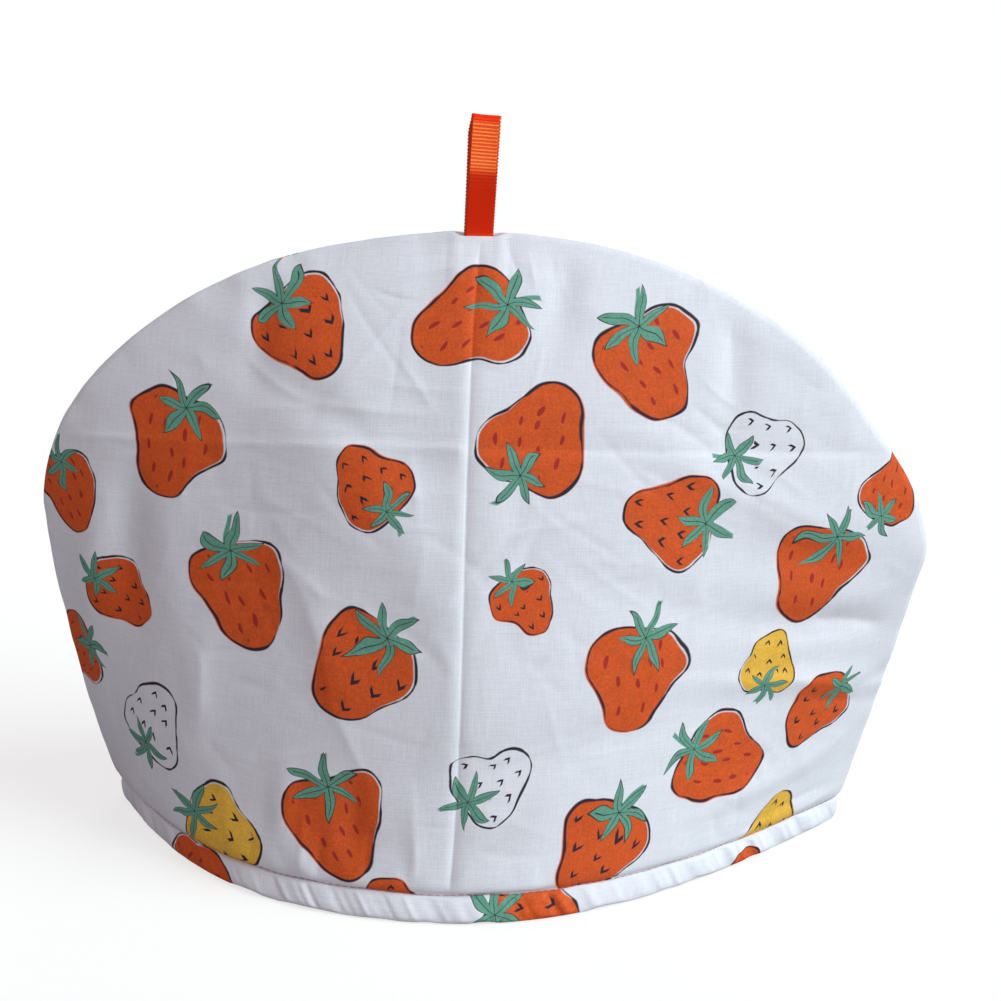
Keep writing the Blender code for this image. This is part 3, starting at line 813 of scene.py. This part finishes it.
back = {
    "roofRise": 3.0,
    "roofWidth": 42.0,
    "downDepth": 0.6,
    "downWidths": (3.0, 1.6),
    "acrossDepth": 0.42,
    "acrossWidths": (4.2, 1.5),
    "acrossHeight": 165.5,
    "acrossDrop": 7.0,
    "drawnDown": 0.6,
    "folds": (
        (120, 120, 36, 9, 86, -1.8), (70, 80, 40, 8, 60, -1.4), (-90, 150, 40, 8, 28, 1.4),
        (-110, 80, 30, 8, 80, -1.6), (-30, 210, 22, 7, 84, -1.4), (40, 190, 34, 8, -18, -1.2),
        (0, 50, 50, 9, 6, -1.1), (96, 34, 18, 6, 88, 1.4), (-70, 28, 16, 6, 92, -1.5),
        (146, 100, 26, 9, 94, 1.8),
    ),
    "creases": (
        (30, 38, 31, 12, 0, -0.6, 1.8, 1.8), (-20, 34, -22, 12, 0, 0.5, 1.6, 1.6),
        (44, 160, 72, 124, 1.5, 0.45, 2.4, 1.6), (-76, 130, -42, 92, -2, -0.5, 1.8, 3.2),
        (110, 78, 146, 66, 1, -0.6, 2.4, 2.4), (-120, 150, -84, 176, 2, -0.45, 2.8, 1.6),
        (-140, 64, -112, 50, 0, 0.5, 2.2, 2.2), (20, 216, 26, 190, 0.5, -0.5, 2.4, 2),
        (84, 196, 112, 176, 1, 0.4, 1.6, 2.2), (-90, 30, -92, 12, 0, 0.55, 1.6, 1.8),
        (70, 30, 72, 12, 0, -0.5, 1.8, 1.6), (-60, 173, 20, 174, 0, -0.14, 0.9, 1.6),
        (-6, 60, 50, 66, 2, -0.35, 4, 2),
    ),
    "strewn": (29, 100, (6, 24), (2.6, 6.4), (0.08, 0.34)),
    "scattered": (37, 300, (8, 40), (0.6, 2.2), (0.07, 0.29)),
    "gatherSeed": 8,
    "berries": (
        (-144, 66, 22, 30, 0), (-96, 36, 18, -60, 1), (-48, 60, 23, 160, 0), (-4, 22, 17, 45, 3),
        (44, 54, 22, -28, 1), (92, 26, 23, 84, 0), (136, 62, 18, -130, 2), (-118, 118, 17, 100, 3),
        (-72, 104, 22, -10, 0), (-20, 104, 16, 60, 1), (30, 108, 23, 140, 0), (82, 92, 18, -40, 1),
        (124, 116, 22, 20, 0), (-150, 160, 20, -30, 1), (-96, 164, 23, 52, 0), (-40, 152, 22, -120, 2),
        (12, 160, 18, 12, 1), (62, 152, 22, 74, 0), (112, 164, 17, -76, 3), (152, 150, 18, 30, 0),
        (-58, 208, 20, 24, 0), (-10, 214, 22, -40, 1), (40, 212, 16, 130, 3), (86, 246, 18, 100, 2),
        (86, 204, 18, -14, 0), (-140, 4, 20, 70, 0), (44, -8, 18, 10, 0), (150, 10, 18, -20, 0),
        (-60, -4, 15, 120, 1),
    ),
}


def betweenRolls(face, count):
    # across and roll of each column of a face between its two rolled edges
    roll = np.linspace(0, 1, count + 1)[1:]
    ends = np.ones(count)
    return np.concatenate([-ends, face, ends]), np.concatenate([roll[::-1], np.zeros(len(face)), roll])


def panelColumns(p):
    face = np.linspace(-1, 1, p["faceColumns"] + 1)
    close = np.arange(1, p["creaseColumns"] + 1) / (p["creaseColumns"] + 1) * (face[1] - face[0])
    return betweenRolls(np.sort(np.concatenate([face, close, -close])), p["rollColumns"])


def panelRows(p):
    # climb of each row: the hem's own heights, then equal steps along the arch
    low = np.arcsin(np.array(p["hemHeights"]) / cosy["crownHeight"])
    climb = np.linspace(low[-1], np.pi / 2, 5 * cosy["archSteps"])
    height = levelOf(climb)
    steps = sum(np.hypot(np.gradient(archX(column, climb)), np.gradient(height)) for column in (left, right))
    length = np.cumsum(steps)
    even = np.interp(np.linspace(length[0], length[-1], p["rows"] + 2 - len(low)), length, climb)
    even[-1] = np.pi / 2
    return np.concatenate([low[:-1], even])


def panelRelief(p, side, x, height, level):
    # how far the face stands out: the roof and the two pressed creases, then folds and finer creases
    middleX = atHeight("bulge", middle, level)
    acrossAt = side["acrossHeight"] - side["acrossDrop"] * (x / p["acrossReach"]) ** 2
    down = pressedLine(x - middleX, *side["downWidths"])
    # roof: the middle stands out like a low roof over the pressed crease, as exp of minus the way from it
    roof = side["roofRise"] * np.exp(-np.hypot(x - middleX, p["roofBlunt"]) / side["roofWidth"])
    # cloth folded twice: the second crease stands out left of the first and sinks in right of it
    flips = np.clip((middleX - x) / p["acrossTurn"], -1, 1)
    gap = height - acrossAt
    ridge = pressedLine(gap, *side["acrossWidths"])
    groove = pressedLine(-gap, *side["acrossWidths"])
    acrossLine = np.where(flips > 0, ridge, groove) * flips
    relief = side["acrossDepth"] * acrossLine
    relief = relief - side["downDepth"] * down * (1 - p["crossing"] * abs(acrossLine))
    relief = relief + folds(side["folds"], x, height) * ease(height, *p["foldsUp"])
    relief = relief + folds(strewn(*side["strewn"]), x, height)
    relief = relief + creases(side["creases"], x, height) + creases(scattered(*side["scattered"]), x, height)
    roof = roof * ease(height, *p["roofUp"]) * ease(toSeam(x, height), *p["roofIn"])
    return relief * ease(height, *p["reliefUp"]) + roof


def panelOuter(p, side, facing):
    # The outer face: the wall at the inset for its height, moved along its normals by the relief, the
    # gathers and the puckers. Returns its points and their places on the flat cloth.
    across, roll = panelColumns(p)
    climb = panelRows(p)[:, None]
    level = levelOf(climb)
    inset = np.interp(level, *np.array(p["outerInset"]).T)
    ditch = cosy["seamDitch"] * ease(level, *p["ditchUp"])
    x, depth, height = wall(across, roll, climb, inset, ditch)
    # the padding thins out towards the seam: depth falls by an exponential of the way to the seam
    thinner, reach = p["shoulder"]
    thinned = thinner * np.exp(-toSeam(x, height) / reach) * np.tanh(depth / cosy["seamRoll"])
    depth = depth - thinned * ease(level, *p["shoulderUp"])
    depth = depth + cosy["seamGap"] / 2 + pocket(x, height)
    # the ribbon's stitches draw the seam down in front of it
    drawn = (1 - ease(abs(x - cosy["pocketX"]), *p["drawnWidth"])) * ease(height, *p["drawnFrom"])
    height = height - side["drawnDown"] * drawn
    grid = np.stack([x, facing * depth, height], axis=-1)
    normals = normalsOf(grid)
    normals *= np.sign(normals[len(grid) // 2, len(across) // 2, 1]) * facing
    normals[-1] = (0, 0, 1)
    seam = toSeam(x, height)
    onFace = roll == 0
    relief = panelRelief(p, side, x, height, level) * ease(seam, *p["reliefIn"]) * onFace
    # gathers across the arch seam: a ripple round the arch that dies away as exp of minus the square
    middleHeight, radius = p["gatherRound"]
    around = np.arctan2(height - middleHeight, x - cosy["crownX"]) * radius
    gather = ripple(around, 2 * np.pi * radius, p["gatherPitch"], side["gatherSeed"])
    fade = np.exp(-(seam / p["gatherReach"]) ** 2) * (1 - ease(roll, 0.5, 1))
    relief = relief + p["gather"] * gather * fade * ease(height, *p["gatherUp"])
    # puckers that stand on the binding: a ripple along the hem that leans with the height
    flatAt = across * p["hemHalf"] + p["hemLean"] * height
    low = ripple(flatAt, 4 * p["hemHalf"], p["hemPitch"], side["gatherSeed"] + 20)
    relief = relief + p["hemGather"] * low * between(height, *p["hemGatherUp"]) * onFace
    relief = relief * (1 - ease(climb, *np.radians(p["crownOut"])))
    return grid + normals * relief[..., None], panelFlat(grid, across)


def panelFlat(grid, across):
    # place on the flat cloth: length along the row from the middle column, and length up the middle column
    middleColumn = int(np.argmin(abs(across)))
    along = lengthAlong(grid, 1)
    return pairs(along - along[:, middleColumn:middleColumn + 1], lengthAlong(grid[:, middleColumn])[:, None])


def panelInner(p, facing):
    # the inner face: the same wall further in and on a coarser grid, with soft dents in its depth
    every = p["innerEvery"]
    across, roll = (a[::every] for a in panelColumns(p))
    climb = panelRows(p)[::every, None]
    x, depth, height = wall(across, roll, climb, np.interp(levelOf(climb), *np.array(p["innerInset"]).T))
    depth = depth + cosy["seamGap"] / 2 + pocket(x, height)
    dents = folds(strewn(p["dentSeed"] + facing, *p["dents"]), x, height)
    dents = dents * ease(toSeam(x, height), *p["dentsIn"]) * ease(height, *p["gatherUp"])
    return np.stack([x, facing * (depth + dents * (roll == 0)), height], axis=-1)


def makePanel(name, node, p, side, facing):
    outer, flat = panelOuter(p, side, facing)
    inside = panelInner(p, facing)
    every = p["innerEvery"]
    rows, columns = outer.shape[:2]
    inRows, inColumns = inside.shape[:2]
    outFaces, inFaces = gridFaces(rows, columns), gridFaces(inRows, inColumns)
    flatOut, flatIn = flat.reshape(-1, 2), flat[::every, ::every].reshape(-1, 2)
    shown = flatOut * (-facing, 1)     # the print reads the same way round on both sides
    bake, inBake = bakeGrid(rows, columns, p["outerBake"]), bakeGrid(inRows, inColumns, p["innerBake"])
    parts = [
        {"faces": outFaces, "flat": flatOut[outFaces], "bake": bake[outFaces],
         "place": berryPlaces(side["berries"], shown, outFaces)},
        {"faces": inFaces + rows * columns, "flat": flatIn[inFaces], "bake": inBake[inFaces], "look": 1},
    ]
    # rims: each step of the inner edge meets three steps of the outer one
    outGrid = np.arange(rows * columns).reshape(rows, columns)
    inGrid = rows * columns + np.arange(inRows * inColumns).reshape(inRows, inColumns)
    edges = ((outGrid[0], inGrid[0]), (outGrid[:, 0], inGrid[:, 0]), (outGrid[:, -1], inGrid[:, -1]))
    for i, (outEdge, inEdge) in enumerate(edges):
        steps = [slice(k, len(outEdge) - every + k, every) for k in range(every + 1)]
        faces = np.stack([outEdge[step] for step in steps] + [inEdge[1:], inEdge[:-1]], axis=1)
        t = np.linspace(0, 1, len(outEdge))
        inner = [pairs(t[step], 0.0) for step in (steps[-1], steps[0])]
        rim = np.stack([pairs(t[step], 1.0) for step in steps] + inner, axis=1)
        box = np.array(p["rimBake"]) + (0, p["rimsApart"] * i) * 2
        parts.append({"faces": faces, "bake": bakeBox(rim[..., 0], rim[..., 1], box),
                      "flat": rim * p["rimSize"], "look": 1})
    points = np.concatenate([outer.reshape(-1, 3), inside.reshape(-1, 3)])
    piece = newPiece(name, points, parts, [printedCotton, plainCotton])
    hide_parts(node)
    return piece


makePanel("frontPanel", "front_panel", panel, front, -1)
makePanel("backPanel", "back_panel", panel, back, 1)
print("panels made")


# binding, folded round the panels' edges at the hem
binding = {
    "step": 0.7,
    # height, inset: the outer leg, the inner leg and the channel between them
    "outerLeg": (
        (0, 2.6), (0.15, 1.3), (0.7, 0.45), (1.8, 0.05), (3.4, 0.1), (5.4, 0.55), (7.4, 1.15), (8.7, 1.7),
        (9.3, 2.2), (9.4, 2.75),
    ),
    "channel": ((9.4, 2.75), (6, 2.75), (2.6, 2.75), (2.6, 5.5), (6, 5.5), (9, 5.5)),
    "innerLeg": ((9, 5.5), (9.25, 6.2), (8, 6.9), (5, 7.2), (2.2, 7), (0.5, 6.3), (0, 5.6)),
    "samples": (26, 7, 15),
    "rollColumns": 14,
    "faceLength": 359,
    "height": 9.4,
    "acrossFoot": 2.2,
    "measuredAt": (5.0, 0.2),       # height and inset of the line its length is taken on
    "printFrom": -10,               # x of the place in front that the berries are measured from
    # heights between which each leg puckers
    "outerPuckers": (0.2, 2.4, 8.4, 9.4),
    "innerPuckers": (0.2, 2.0, 8.0, 9.0),
    # how far the legs pucker, how far the folded edge strays up and down, and how far the foot lifts off
    # the table between its lowest places
    "pucker": 0.72,
    "innerPucker": 0.7,   # of the outer one
    "finePucker": 0.45,
    "puckerSlant": 0.7,
    "uneven": 0.28,
    "footLift": (0.25, 0.9),
    "wander": 0.26,
    "scallop": 0.6,
    # pitch and seed of each ripple
    "ripples": {"pucker": (4.1, 6), "fine": (2.0, 7), "uneven": (42, 5), "inner": (4.4, 9), "foot": (7.5, 12),
                "edge": (9, 10)},
    "bands": 8,
    "berries": (
        (-106, -3, 20, 110, 0), (30, 2, 22, 68, 1), (128, -9, 17, 170, 0), (236, 14, 20, 20, 0),
        (318, -4, 16, 100, 2), (404, 6, 21, -60, 0), (480, 2, 18, 150, 1),
    ),
    "folded": 0.026,      # width of the folded strip, in metres
}


def bindingSection(b):
    # points down the outer leg, round the channel and down the inner leg, at even steps along each table:
    # the legs' tables are joined by smooth curves and the channel's by straight lines, with its corners kept
    runs = []
    for key, count in zip(("outerLeg", "channel", "innerLeg"), b["samples"]):
        points = np.array(b[key])
        at = lengthAlong(points)
        even = np.linspace(0, at[-1], count)
        if key == "channel":
            run = np.stack([np.interp(even, at, points[:, i]) for i in (0, 1)], axis=1)
            run[[np.argmin(abs(even - a)) for a in at]] = points
        else:
            run = np.stack([through(at, points[:, i], even) for i in (0, 1)], axis=1)
        runs.append(run if not runs else run[1:])
    section = np.concatenate(runs)
    section[:, 0] = np.maximum(section[:, 0], 0)
    return section, np.concatenate([np.full(len(run), i) for i, run in enumerate(runs)])


def ringPoints(height, inset):
    # Carries heights and insets round the hem as points of the wall: the front from left to right and on
    # round the back. Both have one row for each place round the ring, or one row for all of them.
    face = np.linspace(-1, 1, round(binding["faceLength"] / binding["step"]) + 1)
    across, roll = (a[:, None] for a in betweenRolls(face, binding["rollColumns"]))
    count = len(across)
    rows = 2 * count - 1
    height, inset = (np.broadcast_to(a, (rows, a.shape[-1])) for a in (height, inset))
    order = np.concatenate([np.arange(count), np.arange(count - 2, -1, -1)])
    facing = np.where(np.arange(rows) < count, -1, 1)[:, None]
    climb = np.arcsin(np.maximum(height, 0) / cosy["crownHeight"])
    x, depth, _ = wall(across[order], roll[order], climb, inset)
    y = facing * (depth + cosy["seamGap"] / 2)
    y[(0, count - 1, rows - 1), :] = 0
    return np.stack([x, y, height], axis=-1)


def ringLength():
    # length round the ring at each of its places, from the left corner
    height, inset = np.array(binding["measuredAt"])[:, None, None]
    return lengthAlong(ringPoints(height, inset)[:, 0])


def bindingRipple(name, at, length):
    return ripple(at, length, *binding["ripples"][name])


def makeBinding(b):
    # The section carried round the hem: its insets take the puckers and its heights the stray of the edge
    # and the scallops of the foot, each a ripple of the length round the ring.
    section, leg = bindingSection(b)
    height, inset = section.T[:, None]
    around = ringLength()[:, None]
    length = around[-1, 0]
    # puckers lean along the strip: a ripple of the length round the ring plus the slant times the height
    onOuter = (leg == 0) * between(height, *b["outerPuckers"])
    onInner = (leg == 2) * between(height, *b["innerPuckers"])
    slanted = around + b["puckerSlant"] * height
    uneven = 1 - b["uneven"] + b["uneven"] * bindingRipple("uneven", around, length)
    fine = b["finePucker"] * bindingRipple("fine", slanted, length)
    inset = inset - b["pucker"] * (bindingRipple("pucker", slanted, length) + fine) * uneven * onOuter
    inner = bindingRipple("inner", around - height, length)
    inset = inset + b["innerPucker"] * b["pucker"] * inner * onInner
    # the foot lifts where its ripple is high, less so up the leg by the square of what is left above
    least, more = b["footLift"]
    foot = np.clip(least + more * bindingRipple("foot", slanted, length), 0, 1)
    foot = foot * (1 - height / b["height"]) ** 2
    stray = bindingRipple("edge", around, length)
    height = height + b["wander"] * stray * (height / b["height"]) * (leg != 1)
    height = height + b["scallop"] * foot * (leg == 0) * ease(height, -0.4, 0.3)
    points = ringPoints(height, inset)
    rows, columns = points.shape[:2]
    faces = gridFaces(rows, columns + 1)
    closed = np.concatenate([points, points[:, :1]], axis=1)
    upLeg = lengthAlong(section)
    upLeg = np.append(upLeg, upLeg[-1] + b["acrossFoot"])
    flat = pairs(around, upLeg[None]).reshape(-1, 2)
    start = around[np.argmin(abs(points[:rows // 2, 0, 0] - b["printFrom"])), 0]
    # the baked strip is laid in bands, one above another, with a margin round each
    bands = b["bands"]
    band = np.minimum((np.arange(len(faces)) // columns) * bands // (rows - 1), bands - 1)
    u = flat[faces][..., 0] / length * bands - band[:, None]
    v = (band[:, None] + 0.06 + 0.88 * flat[faces][..., 1] / upLeg[-1]) / bands
    part = {"faces": faces, "flat": flat[faces], "bake": pairs(0.01 + 0.98 * u, v),
            "place": berryPlaces(b["berries"], flat - (start, 0), faces)}
    piece = newPiece("hemBinding", closed, [part], [printedCotton])
    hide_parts("hem_binding")
    return piece


makeBinding(binding)
print("binding made")


# stitching along the binding's folded edge, outside and inside
stitching = {
    "pitch": 2.9,
    "length": 2.45,
    "radius": 0.14,
    "rise": 0.16,
    # height, inset, and how far out and up the middle of a stitch is lifted
    "outside": (9.72, 2.45, (1.0, 0.9)),
    "inside": (9.45, 6.1, (-1.0, 0.7)),
    "colour": (0.60, 0.26, 0.23, 1.0),
    "ply": 2600.0,              # twists to a metre
    "rings": 7,
    "sides": 7,
    "sunk": 0.06,
}


def stitchTubes(s, height, inset, lift):
    # Each stitch is a tube along the ring whose middle rises as 1 - t squared and whose radius falls to its
    # ends as the root of 1 - t squared, so that both ends sink into the cloth.
    around = ringLength()
    wander = binding["wander"] * bindingRipple("edge", around, around[-1])[:, None]
    line = ringPoints(height + wander, np.array([[inset]]))[:, 0]
    count = int(around[-1] / s["pitch"])
    t = np.linspace(-1, 1, s["rings"])
    turn = np.linspace(0, 2 * np.pi, s["sides"])
    at = (np.arange(count)[:, None] + 0.5) * around[-1] / count + t * s["length"] / 2
    path = np.stack([np.interp(at, around, line[:, i]) for i in range(3)], axis=-1)
    along = np.gradient(path, axis=1)
    along /= np.linalg.norm(along, axis=-1, keepdims=True)
    out = np.cross(along, (0, 0, 1)) * lift[0] + np.array([0, 0, lift[1]])
    out /= np.linalg.norm(out, axis=-1, keepdims=True)
    beside = np.cross(along, out)
    path = path + out * (s["rise"] * (1 - t ** 2) - s["sunk"])[None, :, None]
    radius = s["radius"] * np.sqrt(np.maximum(1.02 - t ** 2, 0.05))[None, :, None, None]
    circle = np.cos(turn)[:, None] * out[:, :, None] + np.sin(turn)[:, None] * beside[:, :, None]
    return path[:, :, None] + radius * circle


def makeStitches(s):
    tubes = np.concatenate([stitchTubes(s, *s["outside"]), stitchTubes(s, *s["inside"])])
    count, rings, sides = tubes.shape[:3]
    first = np.arange(count)[:, None] * rings * sides
    faces = (gridFaces(rings, sides)[None] + first[..., None]).reshape(-1, 4)
    caps = np.concatenate([first + np.arange(sides - 1) + end for end in (0, (rings - 1) * sides)])
    material, tree, shader = newMaterial("sewingThread", Sheen_Weight=0.2)
    m = toolsFor(tree)
    ply = m.noise(m.addNode("TexCoord").outputs["Object"], s["ply"], 2.0, 0.5)[0]
    finishMaterial(tree, shader, m.shaded(s["colour"], m.mulAdd(ply, 0.5, 0.75)), m.mulAdd(ply, 0.2, 0.45))
    piece = newPiece("hemStitching", tubes, [{"faces": faces}, {"faces": caps}], [material])
    return piece


makeStitches(stitching)
print("stitching made")


# ribbon loop
ribbon = {
    "width": 10.6,
    "thickness": 1.0,
    "footX": -5.5,
    # depth and height of its middle line, from the front foot over the top to the back foot
    "path": (
        (-0.63, 235.6), (-0.63, 240.6), (-1.4, 245), (-2.6, 251), (-4, 258.5), (-4.6, 262.8), (-4.5, 265),
        (-3.9, 269), (-2.6, 275.6), (-1.95, 279), (-1.3, 281.6), (0.2, 282.7), (1.7, 281.6), (2.6, 279.2),
        (3.7, 273.5), (4.3, 266), (4.1, 258.5), (2.9, 250.5), (1.3, 244.5), (0.63, 240.6), (0.63, 235.6),
    ),
    "lean": 1.75,         # how far right the top is of the feet
    "backLegShift": (0.3, 1.2),     # how far left the back leg is, at its foot and below the top
    "shiftOver": 9,       # length past the top over which it comes in
    "droop": (1.5, 3.6),  # degrees that the right selvedge hangs lower, at the feet and at the top
    "ribPitch": 1.28,
    "ribHeight": (0.008, 0.016),    # below the middle of the loop and above it
    "ribsRise": (256.0, 268.0),
    "selvedge": 0.75,
    "selvedgeThinner": 0.12,
    "cup": 0.22,          # how hollow the ribbon is across
    "straight": (8, 22),  # the cup comes in over this length of each leg
    "picot": 0.15,        # how far each rib stands out at the selvedge
    "stepsAcross": 26,
    "stepsAlong": 900,
    "colour": (1.0, 0.011, 0.0006, 1.0),
    "edgeColour": (0.66, 0.010, 0.002, 1.0),
    "gloss": (1.0, 0.71, 0.18, 1.0),
    # painted shade: how much darker the grooves between the ribs are than the ribs' tops
    "paintedRibShade": 0.016,
    "threadPitch": 0.28,
    # painted shade: how much darker the dips between the fine threads are
    "paintedThreadShade": 0.01,
    "threadBump": 0.000002,
    "streak": (2.2, 0.12),          # noise to a millimetre across the ribbon and along it
    "streakTone": 0.06,
    "roughness": 0.22,
    "ribRoughness": (0.13, -0.17),  # added where the ribs open up, and times the rib's own height
    "streakRoughness": 0.05,
    "bake": (0.02, 0.01, 0.98, 0.99),
}


def ribbonLine(r, steps):
    # the path's table joined by smooth curves and cut into equal steps; x leans with the height
    table = np.array(r["path"])
    knots = lengthAlong(table)
    at = np.linspace(0, knots[-1], steps + 1)
    y, height = (through(knots, table[:, i], at) for i in (0, 1))
    low, high = table[1, 1], table[:, 1].max()
    risen = np.clip((height - low) / (high - low), 0, 1)
    atFoot, belowTop = r["backLegShift"]
    shift = ease(at - at[np.argmax(height)], 0, r["shiftOver"]) * (atFoot + (belowTop - atFoot) * risen)
    x = r["footX"] + r["lean"] * risen - shift
    return np.stack([x, y, height], axis=-1), at, risen


def makeRibbon(r):
    # Each face is the middle line, plus the place across along the side vector, plus or minus half the
    # thickness along the outside one. The ribs are a cosine of the length along the line.
    line, even, risen = ribbonLine(r, r["stepsAlong"])
    length = even[-1]
    droop = np.radians(r["droop"][0] + (r["droop"][1] - r["droop"][0]) * risen)
    side = np.stack([np.cos(droop), np.zeros(len(droop)), -np.sin(droop)], axis=-1)
    along = np.gradient(line, axis=0)
    along[:, 0] = 0
    outside = np.cross(side, along)
    outside /= np.linalg.norm(outside, axis=1, keepdims=True)
    # section: across the front face, then back across the other; the ribs die out at the selvedges
    t = np.linspace(-1, 1, r["stepsAcross"] + 1)
    half = r["width"] / 2
    edge = np.clip((1 - abs(t)) * half / r["selvedge"], 0, 1)
    ribs = np.cos(2 * np.pi * even / r["ribPitch"])
    lowRib, highRib = r["ribHeight"]
    ribHeight = lowRib + (highRib - lowRib) * ease(line[:, 2], *r["ribsRise"])
    body = r["thickness"] / 2 - highRib - r["selvedgeThinner"] * (1 - ease(edge, 0, 1))
    thick = body + (ribHeight * ribs)[:, None] * ease(edge, 0.6, 1)
    thick[:, (0, -1)] *= 0.55
    start, end = r["straight"]
    inBend = between(even, start, end, length - end, length - start)
    lift = r["cup"] * (t ** 2 - 0.33) * inBend[:, None]
    reach = half * t + r["picot"] * ribs[:, None] * np.sign(t) * (1 - ease(edge, 0, 0.4))
    places = line[:, None] + reach[..., None] * side[:, None]
    top = places + (lift + thick)[..., None] * outside[:, None]
    bottom = places + (lift - thick)[..., None] * outside[:, None]
    loop = np.concatenate([top, bottom[:, ::-1], top[:, :1]], axis=1)
    rows, columns = loop.shape[:2]
    faces = gridFaces(rows, columns)
    acrossAt = np.concatenate([t, t[::-1], t[:1]]) * half
    flat = pairs(acrossAt[None], even[:, None]).reshape(-1, 2)
    bake = bakeGrid(rows, columns, r["bake"])
    caps = np.stack([np.arange(columns - 1), (rows - 1) * columns + np.arange(columns - 1)])
    parts = [{"faces": faces, "flat": flat[faces], "bake": bake[faces]},
             {"faces": caps, "flat": flat[caps], "bake": bake[caps]}]
    piece = newPiece("hangingLoop", loop, parts, [grosgrain(r)])
    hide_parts("hanging_loop")
    return piece


def grosgrain(r):
    # ribbed ribbon, deeper in colour at its selvedges, with fine threads that run over the ribs, and painted
    # shade in the grooves between the ribs and between the threads
    material, tree, shader = newMaterial(
        "grosgrain", Sheen_Weight=0.04, Sheen_Roughness=0.35, Sheen_Tint=r["gloss"], IOR=1.6,
        Specular_IOR_Level=1.0, Specular_Tint=r["gloss"])
    m = toolsFor(tree)
    across, along = m.split(m.addNode("UVMap", uv_map="flat").outputs[0])[:2]
    rib = m.cosine(m.mul(along, 2 * math.pi / r["ribPitch"]))
    threads = m.sine(m.mul(across, 2 * math.pi / r["threadPitch"]))
    edge = m.under(m.sub(r["width"] / 2, m.size(across)), r["selvedge"] * 0.8, 0.2)
    acrossScale, alongScale = r["streak"]
    streak = m.noise(m.vector(m.mul(across, acrossScale), m.mul(along, alongScale)), 1.0, 2.0, 0.5)[0]
    # painted shade: the tone is lighter on the ribs' and threads' tops and darker in the grooves between
    # them; the streaks are the threads' own uneven tone
    tone = m.mulAdd(rib, r["paintedRibShade"], 0.98)
    tone = m.mulAdd(threads, r["paintedThreadShade"], tone)
    tone = m.mulAdd(m.sub(streak, 0.5), r["streakTone"], tone)
    # the ribs open up over the bend: duller between them there, and evenly smooth on the straight legs
    height = m.split(m.addNode("TexCoord").outputs["Object"])[2]
    low, high = (z * mm for z in r["ribsRise"])
    opened = m.addNode("MapRange", height, low, high).outputs[0]
    dull, byRib = r["ribRoughness"]
    smooth = m.mulAdd(streak, r["streakRoughness"], r["roughness"])
    rough = m.mulAdd(m.mulAdd(rib, byRib, dull), opened, smooth)
    colour = m.shaded(m.tint(edge, r["colour"], r["edgeColour"]), tone)
    finishMaterial(tree, shader, colour, rough, threads, r["threadBump"])
    return material


makeRibbon(ribbon)
print("ribbon made")


# floor and light
studio = {
    "floor": (0.32, 0.32, 0.32, 1.0),
    "floorBounce": (0.20, 0.195, 0.20, 1.0),
    "floorRadius": 14.0,
    "floorSides": 96,
    "floorGlow": (0.70, 0.70, 0.695, 1.0),
    "sky": (0.28, 0.225, 0.235, 1.0),
    "backdrop": (1.0, 1.0, 1.0, 1.0),
    # each light: where it shines from, strength, softness in degrees and colour
    "lights": {
        "key": ((0.80, -0.17, 0.60), 3.3, 40.0, (0.86, 1.0, 1.02)),
        "front": ((0.05, -0.99, 0.07), 0.98, 30.0, (1.0, 1.0, 1.02)),
        "rim": ((-0.85, 0.35, 0.40), 0.12, 60.0, (1.0, 0.98, 1.0)),
        "back": ((0.30, 0.93, 0.22), 1.1, 40.0, (0.98, 1.0, 1.01)),
    },
}


def lightStudio(s):
    # the floor and the backdrop show one colour to the camera and light the cosy with another
    sides = s["floorSides"]
    angle = np.linspace(0, 2 * np.pi, sides + 1)[:-1]
    rim = np.stack([np.cos(angle), np.sin(angle), np.zeros(sides)], axis=1) * s["floorRadius"]
    mesh = bpy.data.meshes.new("floor")
    mesh.from_pydata(rim.tolist(), [], [list(range(sides))])
    material, tree, shader = newMaterial("floorPaint", Roughness=0.95, Specular_IOR_Level=0.0,
                                         Emission_Strength=1.0)
    seen = addNode(tree, "LightPath").outputs["Is Camera Ray"]
    feed(tree, shader.inputs["Base Color"], tint(tree, seen, s["floorBounce"], s["floor"]))
    feed(tree, shader.inputs["Emission Color"], tint(tree, seen, (0.0, 0.0, 0.0, 1.0), s["floorGlow"]))
    mesh.materials.append(material)
    floor = newObject("floor", mesh)
    world = bpy.data.worlds.new("sky")
    world.use_nodes = True
    tree = world.node_tree
    seen = addNode(tree, "LightPath").outputs["Is Camera Ray"]
    feed(tree, tree.nodes["Background"].inputs["Color"], tint(tree, seen, s["sky"], s["backdrop"]))
    bpy.context.scene.world = world
    for name, (toward, strength, softness, colour) in s["lights"].items():
        sun = bpy.data.lights.new(name, "SUN")
        sun.energy, sun.angle, sun.color = strength, math.radians(softness), colour
        away = np.array(toward) / np.linalg.norm(toward)
        side = np.cross([0, 0, 1], away)
        side /= np.linalg.norm(side)
        newObject(name, sun, [side, np.cross(away, side), away])
    bpy.context.scene.view_settings.view_transform = "Standard"


lightStudio(studio)
print("studio lit")
